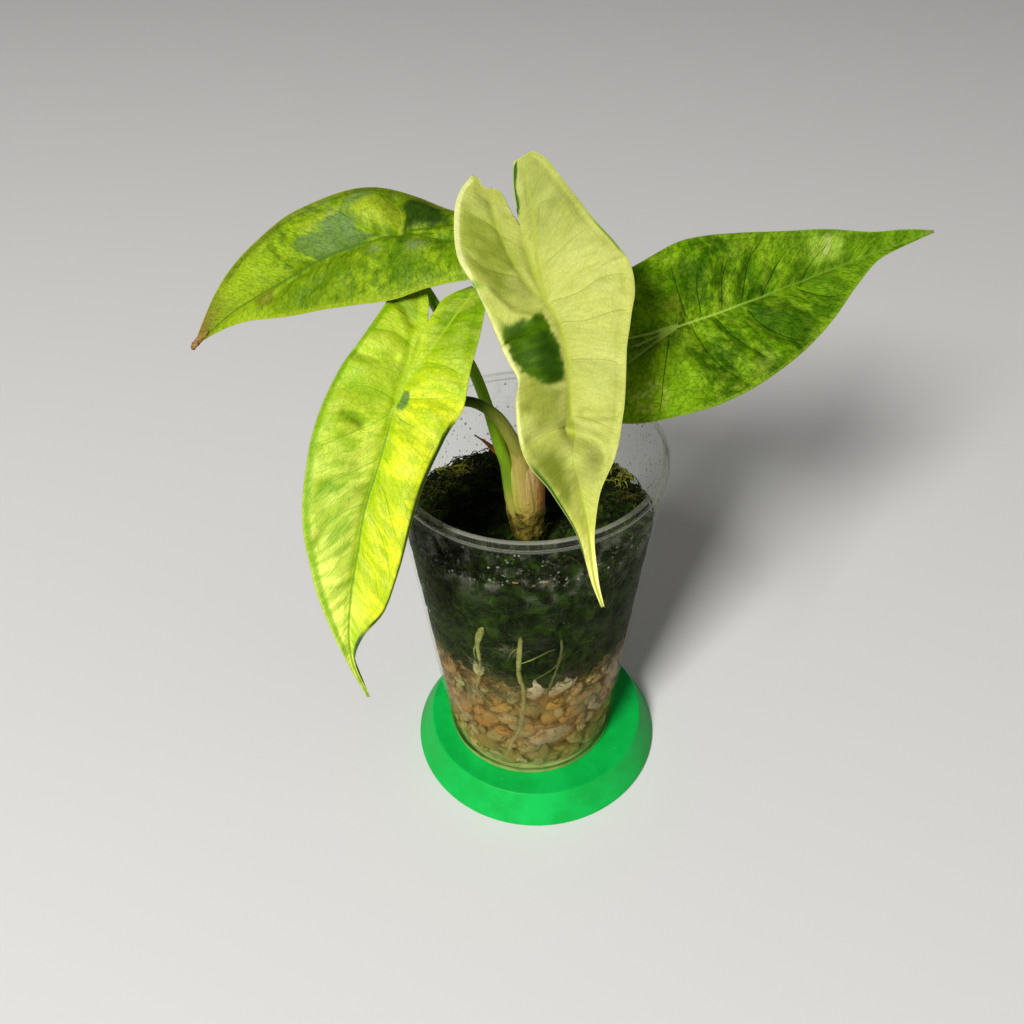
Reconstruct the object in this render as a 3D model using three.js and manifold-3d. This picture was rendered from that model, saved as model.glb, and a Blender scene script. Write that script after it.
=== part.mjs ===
// A potted arrow-leaved house plant: four leaves on a short stem, in a clear cup on a green stand.
// Millimetres, +Z up. The origin is the middle of the cup's axis, on the surface that it all stands on.
import * as THREE from "three";
import { mergeVertices } from "three/addons/utils/BufferGeometryUtils.js";
import Module from "manifold-3d";

const wasm = await Module();
wasm.setup();

// Clearances: between layers, round a limb that stands in a hole, and off the cup's wall and floor
const GAP = 0.3;
const ROOM = 0.4;
const WALL_CLEARANCE = 0.45;

// Driving dimensions of the stand and the cup
const STAND_HEIGHT = 13;
const STAND_TOP_RADIUS = 43.5;
const STAND_FOOT_RADIUS = 49.5;
const STAND_EDGE = 0.6;
const STAND_SHIFT = [2.3, 0.7];
const CUP_HEIGHT = 138;
const CUP_FOOT_RADIUS = 33;
const CUP_RIM_RADIUS = 47.5;
const CUP_WALL = 0.9;
const CUP_FLOOR_RISE = 3;
const LIP_HEIGHT = 3.6;
const LIP_DEPTH = 2.4;
const CUP_FOOT_WIDTH = 2.2;
const CUP_FOOT_ROUND = 0.4;
const ROUND_SIDES = 56;

// Levels of the fill: pumice with brown moss below, dark soil and green moss above
const LAYER_LEVEL = 70;
const SOIL_LEVEL = 123.5;
const SOIL_SLOPE = 0.12;
const FILL_SIDES = 40;
const FILL_RINGS = 6;

// The blade: thickness, the rib under it, and how many strips each half is split into
const BLADE_THICKNESS = 0.7;
const RIB_DEPTH = 0.9;
const RIB_REACH = 1.4;
const STRIP_EDGES = [0, 0.07, 0.24, 0.46, 0.7, 1];
const LOBE_ROWS = 3;
const ROWS_PER_STATION = 2;
const PETIOLE_SIDES = 9;
const STALK_TRIM = 8;

const cupTop = STAND_HEIGHT + CUP_HEIGHT;
const wallSlope = (CUP_RIM_RADIUS - CUP_FOOT_RADIUS) / CUP_HEIGHT;
const cupFloor = STAND_HEIGHT + CUP_FLOOR_RISE + 1;

const cupInnerRadius = (z) => CUP_FOOT_RADIUS - CUP_WALL + (z - STAND_HEIGHT) * wallSlope;

// Smooth curve through the values at rising stations, level with a parabola's slope at each one
function through(stations, values, at) {
  const last = stations.length - 1;
  const x = THREE.MathUtils.clamp(at, stations[0], stations[last]);
  let i = 0;
  while (i < last - 1 && x > stations[i + 1]) i += 1;
  const rise = (k, d) => (values[k + 1][d] - values[k][d]) / (stations[k + 1] - stations[k]);
  const slope = (k, d) => {
    if (k === 0) return rise(0, d);
    if (k === last) return rise(last - 1, d);
    const before = stations[k] - stations[k - 1];
    const after = stations[k + 1] - stations[k];
    return (rise(k - 1, d) * after + rise(k, d) * before) / (before + after);
  };
  const h = stations[i + 1] - stations[i];
  const t = (x - stations[i]) / h;
  return values[i].map((value, d) =>
    value * (2 * t ** 3 - 3 * t ** 2 + 1) + slope(i, d) * h * (t ** 3 - 2 * t ** 2 + t)
    + values[i + 1][d] * (3 * t ** 2 - 2 * t ** 3) + slope(i + 1, d) * h * (t ** 3 - t ** 2));
}

const counted = (list) => list.map((_, k) => k);
const vector = (list) => new THREE.Vector3(...list);

// Closed shapes from lists of points and triangles, and the joins and cuts between them
function geometryOf(points, triangles) {
  const geometry = new THREE.BufferGeometry();
  geometry.setAttribute("position", new THREE.Float32BufferAttribute(points.flat(), 3));
  geometry.setIndex(triangles.flat());
  return geometry;
}

function solidOf(source) {
  const bare = source.clone();
  bare.deleteAttribute("normal");
  bare.deleteAttribute("uv");
  const merged = mergeVertices(bare, 1e-4);
  const vertProperties = Float32Array.from(merged.attributes.position.array);
  const triVerts = Uint32Array.from(merged.index.array);
  return new wasm.Manifold(new wasm.Mesh({ numProp: 3, vertProperties, triVerts }));
}

// The largest piece of a solid, as a geometry: scraps that a cut leaves are dropped
function geometryFrom(solid) {
  const pieces = solid.decompose();
  pieces.sort((one, other) => other.volume() - one.volume());
  const { vertProperties, triVerts } = pieces[0].getMesh();
  const geometry = new THREE.BufferGeometry();
  geometry.setAttribute("position", new THREE.Float32BufferAttribute(vertProperties, 3));
  geometry.setIndex(Array.from(triVerts));
  return geometry;
}

// A round limb along a smooth route, with its radius given at each point of the route. One that is
// kept inside the cup is drawn in to clear the wall and the floor.
function limb(route, radii, { sides = 10, steps = 14, extra = 0, lumps = 0, insideCup = false } = {}) {
  const along = counted(route);
  const last = route.length - 1;
  const sizes = radii.map((radius) => [radius]);
  const points = [];
  const triangles = [];
  let across = new THREE.Vector3(1, 0, 0);
  for (let row = 0; row <= steps; row += 1) {
    const t = (row / steps) * last;
    const centre = vector(through(along, route, t));
    const ahead = vector(through(along, route, Math.min(t + 0.05, last)));
    const behind = vector(through(along, route, Math.max(t - 0.05, 0)));
    const direction = ahead.sub(behind).normalize();
    across = across.addScaledVector(direction, -across.dot(direction)).normalize();
    const other = direction.clone().cross(across);
    const [size] = through(along, sizes, t);
    if (row === 0) centre.addScaledVector(direction, -extra);
    if (row === steps) centre.addScaledVector(direction, extra);
    if (insideCup) {
      const limit = cupInnerRadius(centre.z) - size - WALL_CLEARANCE;
      const reach = Math.hypot(centre.x, centre.y);
      if (reach > limit) centre.set((centre.x * limit) / reach, (centre.y * limit) / reach, centre.z);
      centre.z = Math.max(centre.z, cupFloor + size + WALL_CLEARANCE);
    }
    for (let k = 0; k < sides; k += 1) {
      const angle = (k / sides) * 2 * Math.PI;
      const lump = lumps * Math.sin(3 * angle + row) * Math.sin(2 * angle - 1.7 * row);
      const spot = centre.clone()
        .addScaledVector(across, Math.cos(angle) * (size + extra + lump))
        .addScaledVector(other, Math.sin(angle) * (size + extra + lump));
      points.push(spot.toArray());
    }
  }
  for (let row = 0; row < steps; row += 1) {
    for (let k = 0; k < sides; k += 1) {
      const a = row * sides + k;
      const b = row * sides + ((k + 1) % sides);
      triangles.push([a, b, b + sides], [a, b + sides, a + sides]);
    }
  }
  const top = steps * sides;
  for (let k = 1; k < sides - 1; k += 1) {
    triangles.push([0, k + 1, k], [top, top + k, top + k + 1]);
  }
  return geometryOf(points, triangles);
}

// The blade's surface. x runs along the midrib from the junction to the tip, y to the blade's right.
// spine gives the midrib's points, junction which of them the stalk meets, and face the way that the
// upper side looks. tilt lists, by x, each half's angle at the midrib and its extra angle 20 mm out.
function bladeSurface(leaf) {
  const stations = [0];
  for (let k = 1; k < leaf.spine.length; k += 1) {
    stations.push(stations[k - 1] + vector(leaf.spine[k]).distanceTo(vector(leaf.spine[k - 1])));
  }
  const zero = stations[leaf.junction];
  const places = stations.map((station) => station - zero);
  const first = places[0];
  const end = places[places.length - 1];
  const midrib = (x) => vector(through(places, leaf.spine, x));
  const faceAt = leaf.face.map(([x]) => x);
  const faceWay = leaf.face.map(([, ...way]) => way);

  return (x, y, lift = 0) => {
    const centre = midrib(x);
    const near = Math.min(Math.max(x, first + 0.5), end - 0.5);
    const along = midrib(near + 0.5).sub(midrib(near - 0.5)).normalize();
    centre.addScaledVector(along, Math.min(x - first, 0) + Math.max(x - end, 0));
    const side = along.clone().cross(vector(through(faceAt, faceWay, x))).normalize();
    const up = side.clone().cross(along);
    const tilts = y >= 0 ? leaf.rightTilt : leaf.leftTilt;
    const [fold, curl] = through(tilts.map(([at]) => at), tilts.map(([, ...angles]) => angles), x);
    const hand = y >= 0 ? 1 : -1;
    const reach = Math.abs(y);
    const angleAt = (w) => THREE.MathUtils.degToRad(fold + curl * (w / 20) ** 2);
    const pieces = 6;
    let out = 0;
    let rise = 0;
    for (let k = 0; k < pieces; k += 1) {
      const angle = angleAt(((k + 0.5) / pieces) * reach);
      out += (Math.cos(angle) * reach) / pieces;
      rise += (Math.sin(angle) * reach) / pieces;
    }
    const angle = angleAt(reach);
    const normal = up.clone().multiplyScalar(Math.cos(angle))
      .addScaledVector(side, -hand * Math.sin(angle));
    let height = lift;
    for (const [bx, by, sx, sy, tall] of leaf.bumps) {
      height += tall * Math.exp(-(((x - bx) / sx) ** 2) - ((y - by) / sy) ** 2);
    }
    return centre.addScaledVector(side, hand * out).addScaledVector(up, rise)
      .addScaledVector(normal, height);
  };
}

// Rows of the blade run out from the midrib to the margin. The first three of each half cross its
// lobe, from the edge of the notch between the lobes.
function bladePlan(leaf) {
  const inner = (hand, t) => {
    if (t >= LOBE_ROWS) {
      const stations = leaf.mid.map((_, k) => k + LOBE_ROWS);
      return [through(stations, leaf.mid.map((x) => [x]), t)[0], 0];
    }
    return through([0, 1, 2, 3], [...leaf[`${hand}Notch`], [leaf.mid[0], 0]], t);
  };
  return (hand, t, part) => {
    const [x, y] = inner(hand, t);
    const margin = leaf[`${hand}Margin`];
    const [mx, my] = through(counted(margin), margin, t);
    return [x + (mx - x) * part, Math.max(y + (my - y) * part, 0)];
  };
}

// A blade as a closed sheet between two heights over its surface, split alike on both faces
function bladeSheet(leaf, topLift, underLift) {
  const surface = bladeSurface(leaf);
  const plan = bladePlan(leaf);
  const places = [];
  const index = new Map();
  const rows = (leaf.rightMargin.length - 1) * ROWS_PER_STATION;
  const vertex = (hand, row, strip) => {
    const t = row / ROWS_PER_STATION;
    const onMidrib = strip === 0 && t >= LOBE_ROWS;
    const key = onMidrib ? `mid ${row}` : `${hand} ${row} ${strip}`;
    if (!index.has(key)) {
      const [x, y] = plan(hand, t, STRIP_EDGES[strip]);
      index.set(key, places.length);
      places.push([x, hand === "right" ? y : -y, hand]);
    }
    return index.get(key);
  };
  const sheet = [];
  for (const hand of ["right", "left"]) {
    for (let row = 0; row < rows; row += 1) {
      for (let strip = 0; strip < STRIP_EDGES.length - 1; strip += 1) {
        const a = vertex(hand, row, strip);
        const b = vertex(hand, row + 1, strip);
        const c = vertex(hand, row + 1, strip + 1);
        const d = vertex(hand, row, strip + 1);
        if (hand === "right") sheet.push([a, d, c], [a, c, b]);
        else sheet.push([a, c, d], [a, b, c]);
      }
    }
  }
  const count = places.length;
  const signed = (y, hand) => (hand === "left" ? Math.min(y, -1e-9) : y);
  const points = [
    ...places.map(([x, y, hand]) => surface(x, signed(y, hand), topLift(x, y)).toArray()),
    ...places.map(([x, y, hand]) => surface(x, signed(y, hand), underLift(x, y)).toArray()),
  ];
  const triangles = [];
  const edges = new Set();
  for (const [a, b, c] of sheet) {
    triangles.push([a, b, c], [a + count, c + count, b + count]);
    for (const [from, to] of [[a, b], [b, c], [c, a]]) edges.add(`${from} ${to}`);
  }
  for (const edge of edges) {
    const [from, to] = edge.split(" ").map(Number);
    if (!edges.has(`${to} ${from}`)) {
      triangles.push([to, from, from + count], [to, from + count, to + count]);
    }
  }
  return geometryOf(points, triangles);
}

// One leaf: the blade with a rib under its midrib, and the stalk that ends under the junction
function leafSolid(leaf) {
  const half = BLADE_THICKNESS / 2;
  const end = leaf.mid[leaf.mid.length - 1];
  const rib = (x, y) => RIB_DEPTH * (1 - Math.max(x, 0) / end) * Math.exp(-((y / RIB_REACH) ** 2));
  const blade = bladeSheet(leaf, () => half, (x, y) => -half - rib(x, y));
  const above = bladeSheet(leaf, () => STALK_TRIM, () => 0);
  const stalk = limb(leaf.stalk, leaf.stalkRadii, { sides: PETIOLE_SIDES, steps: 16 });
  return solidOf(stalk).subtract(solidOf(above)).add(solidOf(blade));
}

// The four leaves. The margins are given from the end of each lobe to the tip.
const leafLeftBack = {
  spine: [[-13.2, -3, 231], [-21.6, 0, 229.7], [-39.4, 4, 226.4], [-50.6, 6, 223], [-62.5, 8, 217.2],
    [-76.5, 10, 208], [-89.5, 11, 200], [-106.8, 11, 186.5]],
  junction: 2,
  face: [[-38, 0, -0.6, 0.8], [76, 0, -0.6, 0.8]],
  rightTilt: [[-35, -45, -20], [-10, -20, -20], [5, 0, -15], [79, 8, -10]],
  leftTilt: [[-42, 5, -10], [95, 5, -10]],
  mid: [-18.5, -9, 1, 13, 27, 42, 58, 79.4],
  rightNotch: [[-32, 6.5], [-28.5, 3.5], [-23.5, 1.2]],
  leftNotch: [[-33, 7], [-29, 3.5], [-24, 1.2]],
  rightMargin: [[-33, 8], [-29.5, 10.5], [-24, 11], [-16, 10.5], [-6, 14.4], [6, 16.8], [22, 16.4],
    [36, 15.8], [50, 13.6], [64, 8], [79.6, 0.3]],
  leftMargin: [[-35, 10], [-31, 14], [-24, 16], [-13, 17.8], [-1, 20.2], [14, 19], [29, 15.6],
    [42, 11.6], [56, 6.4], [68, 2.8], [79.6, 0.3]],
  bumps: [[8, 9, 6, 6, 2]],
  stalk: [[-1.5, -15.5, 148], [-5, -17.5, 157], [-8.4, -18.5, 165], [-11.7, -16.5, 177.6],
    [-16.2, -12.5, 190.2], [-22.5, -8, 200.6], [-28.1, -3.4, 209.6], [-35, 1.5, 219.5],
    [-40, 4.6, 226.4]],
  stalkRadii: [2, 2.2, 2.1, 1.8, 1.7, 1.6, 1.6, 1.5, 1.4],
};

const leafLeftFront = {
  spine: [[-25.2, -6, 215.9], [-28.5, -16, 209.7], [-37.3, -33, 193.6], [-43.6, -47, 178],
    [-46.6, -53.5, 171], [-49.2, -60.5, 160], [-51.7, -66.5, 149], [-52.5, -75, 131.4],
    [-48.5, -79, 119.2]],
  junction: 2,
  face: [[-40, 0, -0.75, 0.66], [0, 0, -0.75, 0.66], [60, 0, -0.9, 0.45], [96, 0, -1, 0.2]],
  rightTilt: [[-42, -10, -10], [-24, -2, -10], [-4, 10, -8], [95, 12, -8]],
  leftTilt: [[-42, 15, -8], [95, 20, -8]],
  mid: [-25, -12, 0, 12, 24, 37, 50, 63, 76, 91.2],
  rightNotch: [[-37, 6], [-34, 3], [-30, 1.2]],
  leftNotch: [[-36, 5.5], [-33.2, 2.4], [-30, 1.2]],
  rightMargin: [[-38.5, 8.5], [-35, 12], [-26, 14], [-15, 15.8], [-3, 18.5], [10, 20.2], [22, 19.8],
    [34, 17.4], [46, 14.3], [59, 9], [71, 3.6], [79, 1.2], [91.4, 0.3]],
  leftMargin: [[-38.5, 9.5], [-34.5, 14.5], [-27, 16], [-16, 17.2], [-4, 19.4], [7, 16.6], [20, 14.5],
    [34, 14.4], [48, 13], [60, 10.8], [70, 4.2], [79, 0.8], [91.4, 0.3]],
  bumps: [],
  stalk: [[-1, -15.5, 150], [-1.8, -18.8, 160], [-5.2, -22.3, 172.5], [-9.3, -23.5, 181.5],
    [-15, -24, 186.6], [-21, -24.6, 188.2], [-28, -26.8, 190], [-34, -30, 192],
    [-37.8, -33.4, 193.6]],
  stalkRadii: [2.4, 2.4, 2.1, 1.8, 1.6, 1.5, 1.5, 1.4, 1.3],
};

const leafCentre = {
  spine: [[-5, -8, 248], [-1.8, -19, 240.4], [4.6, -35, 227.7], [8.4, -42, 223.8], [10.2, -49, 218.2],
    [11, -61, 206.8], [13, -70, 192.8], [14.9, -73.5, 184.5], [18, -77, 163.8], [20.2, -77.5, 155.7]],
  junction: 2,
  face: [[-35, 0, -0.75, 0.66], [0, 0, -0.78, 0.62], [35, 0, -0.8, 0.6], [60, 0, -0.95, 0.3],
    [90, 0, -1, 0.15]],
  rightTilt: [[-42, 12, -8], [40, 12, -8], [95, 15, -8]],
  leftTilt: [[-42, 12, -8], [40, 12, -8], [95, 15, -8]],
  mid: [-21.4, -11, -2, 6, 13, 23, 34, 46, 60, 74, 90.2],
  rightNotch: [[-36, 7], [-32.5, 4.5], [-29, 1.6]],
  leftNotch: [[-40, 3], [-36.5, 1.8], [-31, 0.8]],
  rightMargin: [[-38.5, 9], [-34, 13.5], [-27, 16.5], [-15, 18.5], [-3, 15.5], [12, 16.3],
    [22.5, 13.3], [31, 14.4], [42, 13], [51, 7.5], [62, 3.6], [73, 1.6], [82, 0.8], [90.4, 0.3]],
  leftMargin: [[-41, 8.5], [-37.5, 11.5], [-29.5, 14.5], [-19, 18], [-7, 22.5], [5, 23.3], [12, 18],
    [20, 15], [33, 13.5], [44, 10.5], [54, 5], [65, 1.6], [78, 1.2], [90.4, 0.3]],
  bumps: [[-9, 17, 9, 7, 4], [4, 16, 7, 6, -2.5], [20, 13, 5, 5, -1.5], [31, 14, 6, 5, 1.5]],
  stalk: [[0, -15, 150], [1.5, -14.5, 166], [3, -17, 188], [4.5, -22.5, 207], [5, -28, 218.5],
    [4.6, -34.6, 228.4]],
  stalkRadii: [2.2, 2.1, 1.8, 1.6, 1.5, 1.3],
};

const leafRight = {
  spine: [[18, -20, 198], [29.3, -16, 200], [44.4, -10, 203.8], [55.3, -6, 205.4], [65.1, -2, 206.9],
    [76.7, 3, 208.7], [94.6, 10, 212.2], [109, 15, 215], [123.5, 19, 218.4]],
  junction: 2,
  face: [[-38, 0, -0.65, 0.76], [76, 0, -0.65, 0.76]],
  rightTilt: [[-42, 8, -10], [95, 8, -10]],
  leftTilt: [[-42, 8, -10], [95, 8, -10]],
  mid: [-20, -10, 0, 11, 22, 34, 46, 58, 70, 85.6],
  rightNotch: [[-36, 7], [-31, 3.5], [-26, 1.2]],
  leftNotch: [[-36, 7], [-31, 3.5], [-26, 1.2]],
  rightMargin: [[-38, 11], [-34, 17], [-26, 21], [-16, 23.8], [-3, 26.3], [9, 25.8], [22, 23.2],
    [34, 19.5], [45, 14.5], [56, 8], [66, 2.8], [76, 1.2], [86, 0.3]],
  leftMargin: [[-38, 11], [-33, 16], [-25, 19.5], [-14, 21], [-3, 21.8], [8, 24], [17, 23.5],
    [29, 20.4], [42, 16], [55, 11.6], [67, 6.4], [77, 3.6], [86, 0.3]],
  bumps: [],
  stalk: [[1, -14, 150], [4.5, -10.5, 165], [9, -9, 178], [18, -7, 190], [30, -6, 198.5],
    [40, -8, 202.6], [44.6, -10.4, 204.2]],
  stalkRadii: [2, 2, 1.8, 1.7, 1.6, 1.5, 1.3],
};

// The short stem with the old leaf bases round it, and the roots that run down inside the cup's wall
const STEM_ROUTE = [[0, -13.5, 108], [0, -13.5, 112], [-0.4, -14, 122], [-0.8, -14.8, 134],
  [-1.2, -15.2, 146], [-1.6, -15.5, 157], [-1.6, -15.5, 164], [-1.6, -15.5, 167]];
const STEM_RADII = [3.4, 6, 7, 7.2, 6.9, 6.3, 5, 2.6];
const DRY_SHEATH_ROUTE = [[-7, -12.8, 156.5], [-10.2, -11, 158.4], [-14, -8.2, 160.2], [-17.4, -6, 161.4]];
const DRY_SHEATH_RADII = [0.8, 0.7, 0.6, 0.4];

const ROOTS = {
  root_main: {
    route: [[-0.5, -17, 112], [-1.5, -29, 107], [-3.2, -39.3, 98], [-4.5, -38.1, 85],
      [-3.7, -36.6, 69.5], [-2.7, -35.6, 59.7], [-4.4, -33.2, 38.3], [-8, -30.4, 22.5],
      [-14, -27.3, 19.4], [-22, -21.4, 19], [-28, -12, 19.4]],
    radii: [1.1, 1.1, 1.1, 1, 1, 1, 1, 1, 0.9, 0.8, 0.6],
    steps: 40,
  },
  root_second: {
    route: [[-4, -15.5, 112], [-10, -28, 106], [-15.5, -36.4, 100], [-17.6, -35.1, 93],
      [-17.7, -33.8, 82.9], [-19, -31.2, 68.9], [-20.7, -28.4, 55.6]],
    radii: [1.1, 1.1, 1.3, 1, 0.9, 0.9, 0.6],
    steps: 26,
  },
  root_thin: {
    route: [[3.5, -15.5, 112], [8, -29, 103], [11.5, -37.1, 89.1], [9.2, -36.5, 77.6],
      [6.4, -36.1, 68.9], [5.4, -35.2, 59.1], [3.6, -34.6, 50.6]],
    radii: [0.7, 0.7, 0.7, 0.7, 0.6, 0.6, 0.5],
    steps: 26,
  },
};
const ROOT_BRANCH_ROUTE = [[-4.3, -38, 85], [-1, -38.5, 86.6], [3, -38.7, 89.6], [7.4, -38.6, 93.4]];
const ROOT_BRANCH_RADII = [0.7, 0.6, 0.6, 0.5];
const ROOT_SIDES = 7;

// Height of the soil: it falls to the back, with mounds of moss and hollows by the stem
const SOIL_MOUNDS = [[-27, 8, 12, 4], [28, -6, 13, 3.5], [6, 26, 14, 2.5], [-13, -10, 8, -4],
  [12, -13, 8, -4], [0, 2, 9, -2.5]];
function soilHeight(x, y) {
  let z = SOIL_LEVEL - SOIL_SLOPE * y + 0.8 * Math.sin(0.35 * x + 0.6) * Math.cos(0.31 * y);
  for (const [mx, my, size, tall] of SOIL_MOUNDS) {
    z += tall * Math.exp(-((x - mx) ** 2 + (y - my) ** 2) / size ** 2);
  }
  return z;
}
const layerHeight = (x, y) => LAYER_LEVEL + 3 * Math.sin(0.11 * x + 0.9) * Math.cos(0.12 * y) - 0.05 * y;

// A fill of the cup between two heights, with a lumpy side
function fillGeometry(topHeight, underHeight, levels) {
  const wave = (angle, z) => Math.sin(7 * angle + 0.23 * z) * Math.sin(4 * angle - 0.31 * z);
  const inset = (angle, z) => ROOM + 0.5 * (1 + wave(angle, z));
  const points = [];
  const triangles = [];
  const wallPoint = (angle, height) => {
    let radius = cupInnerRadius(LAYER_LEVEL);
    for (let pass = 0; pass < 4; pass += 1) {
      const z = height(radius * Math.cos(angle), radius * Math.sin(angle));
      radius = cupInnerRadius(z) - inset(angle, z);
    }
    return [radius * Math.cos(angle), radius * Math.sin(angle)];
  };
  const disc = (height, flip) => {
    const start = points.length;
    points.push([0, 0, height(0, 0)]);
    for (let ring = 1; ring <= FILL_RINGS; ring += 1) {
      for (let k = 0; k < FILL_SIDES; k += 1) {
        const angle = (k / FILL_SIDES) * 2 * Math.PI;
        const [wx, wy] = wallPoint(angle, height);
        const x = (wx * ring) / FILL_RINGS;
        const y = (wy * ring) / FILL_RINGS;
        points.push([x, y, height(x, y)]);
      }
    }
    const at = (ring, k) => start + 1 + (ring - 1) * FILL_SIDES + (k % FILL_SIDES);
    const add = (a, b, c) => triangles.push(flip ? [a, c, b] : [a, b, c]);
    for (let k = 0; k < FILL_SIDES; k += 1) {
      add(start, at(1, k), at(1, k + 1));
      for (let ring = 1; ring < FILL_RINGS; ring += 1) {
        add(at(ring, k), at(ring + 1, k), at(ring + 1, k + 1));
        add(at(ring, k), at(ring + 1, k + 1), at(ring, k + 1));
      }
    }
    return at(FILL_RINGS, 0);
  };
  const under = disc(underHeight, true);
  const top = disc(topHeight, false);
  let below = under;
  for (let level = 1; level <= levels; level += 1) {
    let above = top;
    if (level < levels) {
      above = points.length;
      for (let k = 0; k < FILL_SIDES; k += 1) {
        const angle = (k / FILL_SIDES) * 2 * Math.PI;
        const low = points[under + k][2];
        const z = low + ((points[top + k][2] - low) * level) / levels;
        const radius = cupInnerRadius(z) - inset(angle, z);
        points.push([radius * Math.cos(angle), radius * Math.sin(angle), z]);
      }
    }
    for (let k = 0; k < FILL_SIDES; k += 1) {
      const next = (k + 1) % FILL_SIDES;
      triangles.push([below + k, below + next, above + next], [below + k, above + next, above + k]);
    }
    below = above;
  }
  return geometryOf(points, triangles);
}

// Turned shapes: the profile is drawn in radius and height, then stood upright
function turned(profile) {
  const outline = profile.map(([radius, z]) => new THREE.Vector2(radius, z));
  const geometry = new THREE.LatheGeometry(outline, ROUND_SIDES);
  geometry.rotateX(Math.PI / 2);
  return geometry;
}

function standGeometry() {
  const slope = (STAND_FOOT_RADIUS - STAND_TOP_RADIUS) / STAND_HEIGHT;
  return turned([
    [0, 0],
    [STAND_FOOT_RADIUS - STAND_EDGE, 0],
    [STAND_FOOT_RADIUS, STAND_EDGE],
    [STAND_TOP_RADIUS + slope * STAND_EDGE, STAND_HEIGHT - STAND_EDGE],
    [STAND_TOP_RADIUS - STAND_EDGE, STAND_HEIGHT],
    [0, STAND_HEIGHT],
  ]);
}

function cupGeometry() {
  const lipFoot = cupTop - LIP_HEIGHT;
  const lipInner = CUP_RIM_RADIUS - LIP_DEPTH;
  return turned([
    [0, STAND_HEIGHT + CUP_FLOOR_RISE],
    [CUP_FOOT_RADIUS - CUP_FOOT_WIDTH - 1.4, STAND_HEIGHT + CUP_FLOOR_RISE],
    [CUP_FOOT_RADIUS - CUP_FOOT_WIDTH - CUP_FOOT_ROUND, STAND_HEIGHT],
    [CUP_FOOT_RADIUS - CUP_FOOT_ROUND, STAND_HEIGHT],
    [CUP_FOOT_RADIUS + 0.1, STAND_HEIGHT + 1],
    [cupInnerRadius(lipFoot) + CUP_WALL, lipFoot],
    [CUP_RIM_RADIUS - 0.5, lipFoot + 0.1],
    [CUP_RIM_RADIUS, lipFoot + LIP_HEIGHT / 2],
    [CUP_RIM_RADIUS - 0.5, cupTop - 0.5],
    [CUP_RIM_RADIUS - 1.2, cupTop],
    [lipInner + 0.4, cupTop - 0.2],
    [lipInner, cupTop - 1],
    [cupInnerRadius(lipFoot), lipFoot],
    [cupInnerRadius(cupFloor), cupFloor],
    [0, cupFloor],
  ]);
}

// The looks: base colour, roughness and metalness of each material
const finishes = {
  stand: new THREE.MeshStandardMaterial({ color: 0x0aa84a, roughness: 0.5, metalness: 0 }),
  cup: new THREE.MeshStandardMaterial({
    color: 0xb9c2bf, roughness: 0.15, metalness: 0, transparent: true, opacity: 0.25,
  }),
  pumice: new THREE.MeshStandardMaterial({ color: 0x9a8561, roughness: 0.95, metalness: 0 }),
  soil: new THREE.MeshStandardMaterial({ color: 0x1d2410, roughness: 1, metalness: 0 }),
  stem: new THREE.MeshStandardMaterial({ color: 0xb08f62, roughness: 0.6, metalness: 0 }),
  root: new THREE.MeshStandardMaterial({ color: 0xb9b56a, roughness: 0.6, metalness: 0 }),
  dry: new THREE.MeshStandardMaterial({ color: 0x8a4f22, roughness: 0.8, metalness: 0 }),
  lime: new THREE.MeshStandardMaterial({ color: 0xa4c611, roughness: 0.4, metalness: 0 }),
  cream: new THREE.MeshStandardMaterial({ color: 0xd3d67a, roughness: 0.4, metalness: 0 }),
  mottled: new THREE.MeshStandardMaterial({ color: 0x6a9a1c, roughness: 0.4, metalness: 0 }),
};

const plant = new THREE.Group();
function place(name, geometry, finish) {
  const mesh = new THREE.Mesh(geometry, finish.clone());
  mesh.name = name;
  plant.add(mesh);
  return mesh;
}

place("stand", standGeometry(), finishes.stand).position.set(...STAND_SHIFT, 0);
place("cup", cupGeometry(), finishes.cup);

const stemShape = { sides: 14, steps: 18, lumps: 0.25 };
const stem = limb(STEM_ROUTE, STEM_RADII, stemShape);
const stemRoom = solidOf(limb(STEM_ROUTE, STEM_RADII, { ...stemShape, extra: ROOM }));
place("stem", stem, finishes.stem);

let upperFill = solidOf(fillGeometry(soilHeight, (x, y) => layerHeight(x, y) + GAP, 5)).subtract(stemRoom);
let lowerFill = solidOf(fillGeometry(layerHeight, () => cupFloor + GAP, 6));
for (const [name, root] of Object.entries(ROOTS)) {
  const shape = { sides: ROOT_SIDES, steps: root.steps, insideCup: true };
  let body = solidOf(limb(root.route, root.radii, shape));
  let room = solidOf(limb(root.route, root.radii, { ...shape, extra: ROOM }));
  if (name === "root_main") {
    const branch = { sides: ROOT_SIDES, steps: 8, insideCup: true };
    body = body.add(solidOf(limb(ROOT_BRANCH_ROUTE, ROOT_BRANCH_RADII, branch)));
    room = room.add(solidOf(limb(ROOT_BRANCH_ROUTE, ROOT_BRANCH_RADII, { ...branch, extra: ROOM })));
  }
  place(name, geometryFrom(body.subtract(stemRoom)), finishes.root);
  upperFill = upperFill.subtract(room);
  lowerFill = lowerFill.subtract(room);
}
place("soil_upper", geometryFrom(upperFill), finishes.soil);
place("fill_lower", geometryFrom(lowerFill), finishes.pumice);

const dry = solidOf(limb(DRY_SHEATH_ROUTE, DRY_SHEATH_RADII, { sides: 6, steps: 6 })).subtract(stemRoom);
place("dry_sheath", geometryFrom(dry), finishes.dry);

const leaves = [
  ["leaf_left_back", leafLeftBack, finishes.mottled],
  ["leaf_left_front", leafLeftFront, finishes.lime],
  ["leaf_centre", leafCentre, finishes.cream],
  ["leaf_right", leafRight, finishes.mottled],
];
for (const [name, leaf, finish] of leaves) {
  place(name, geometryFrom(leafSolid(leaf).subtract(stemRoom)), finish);
}

export default plant;
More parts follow.
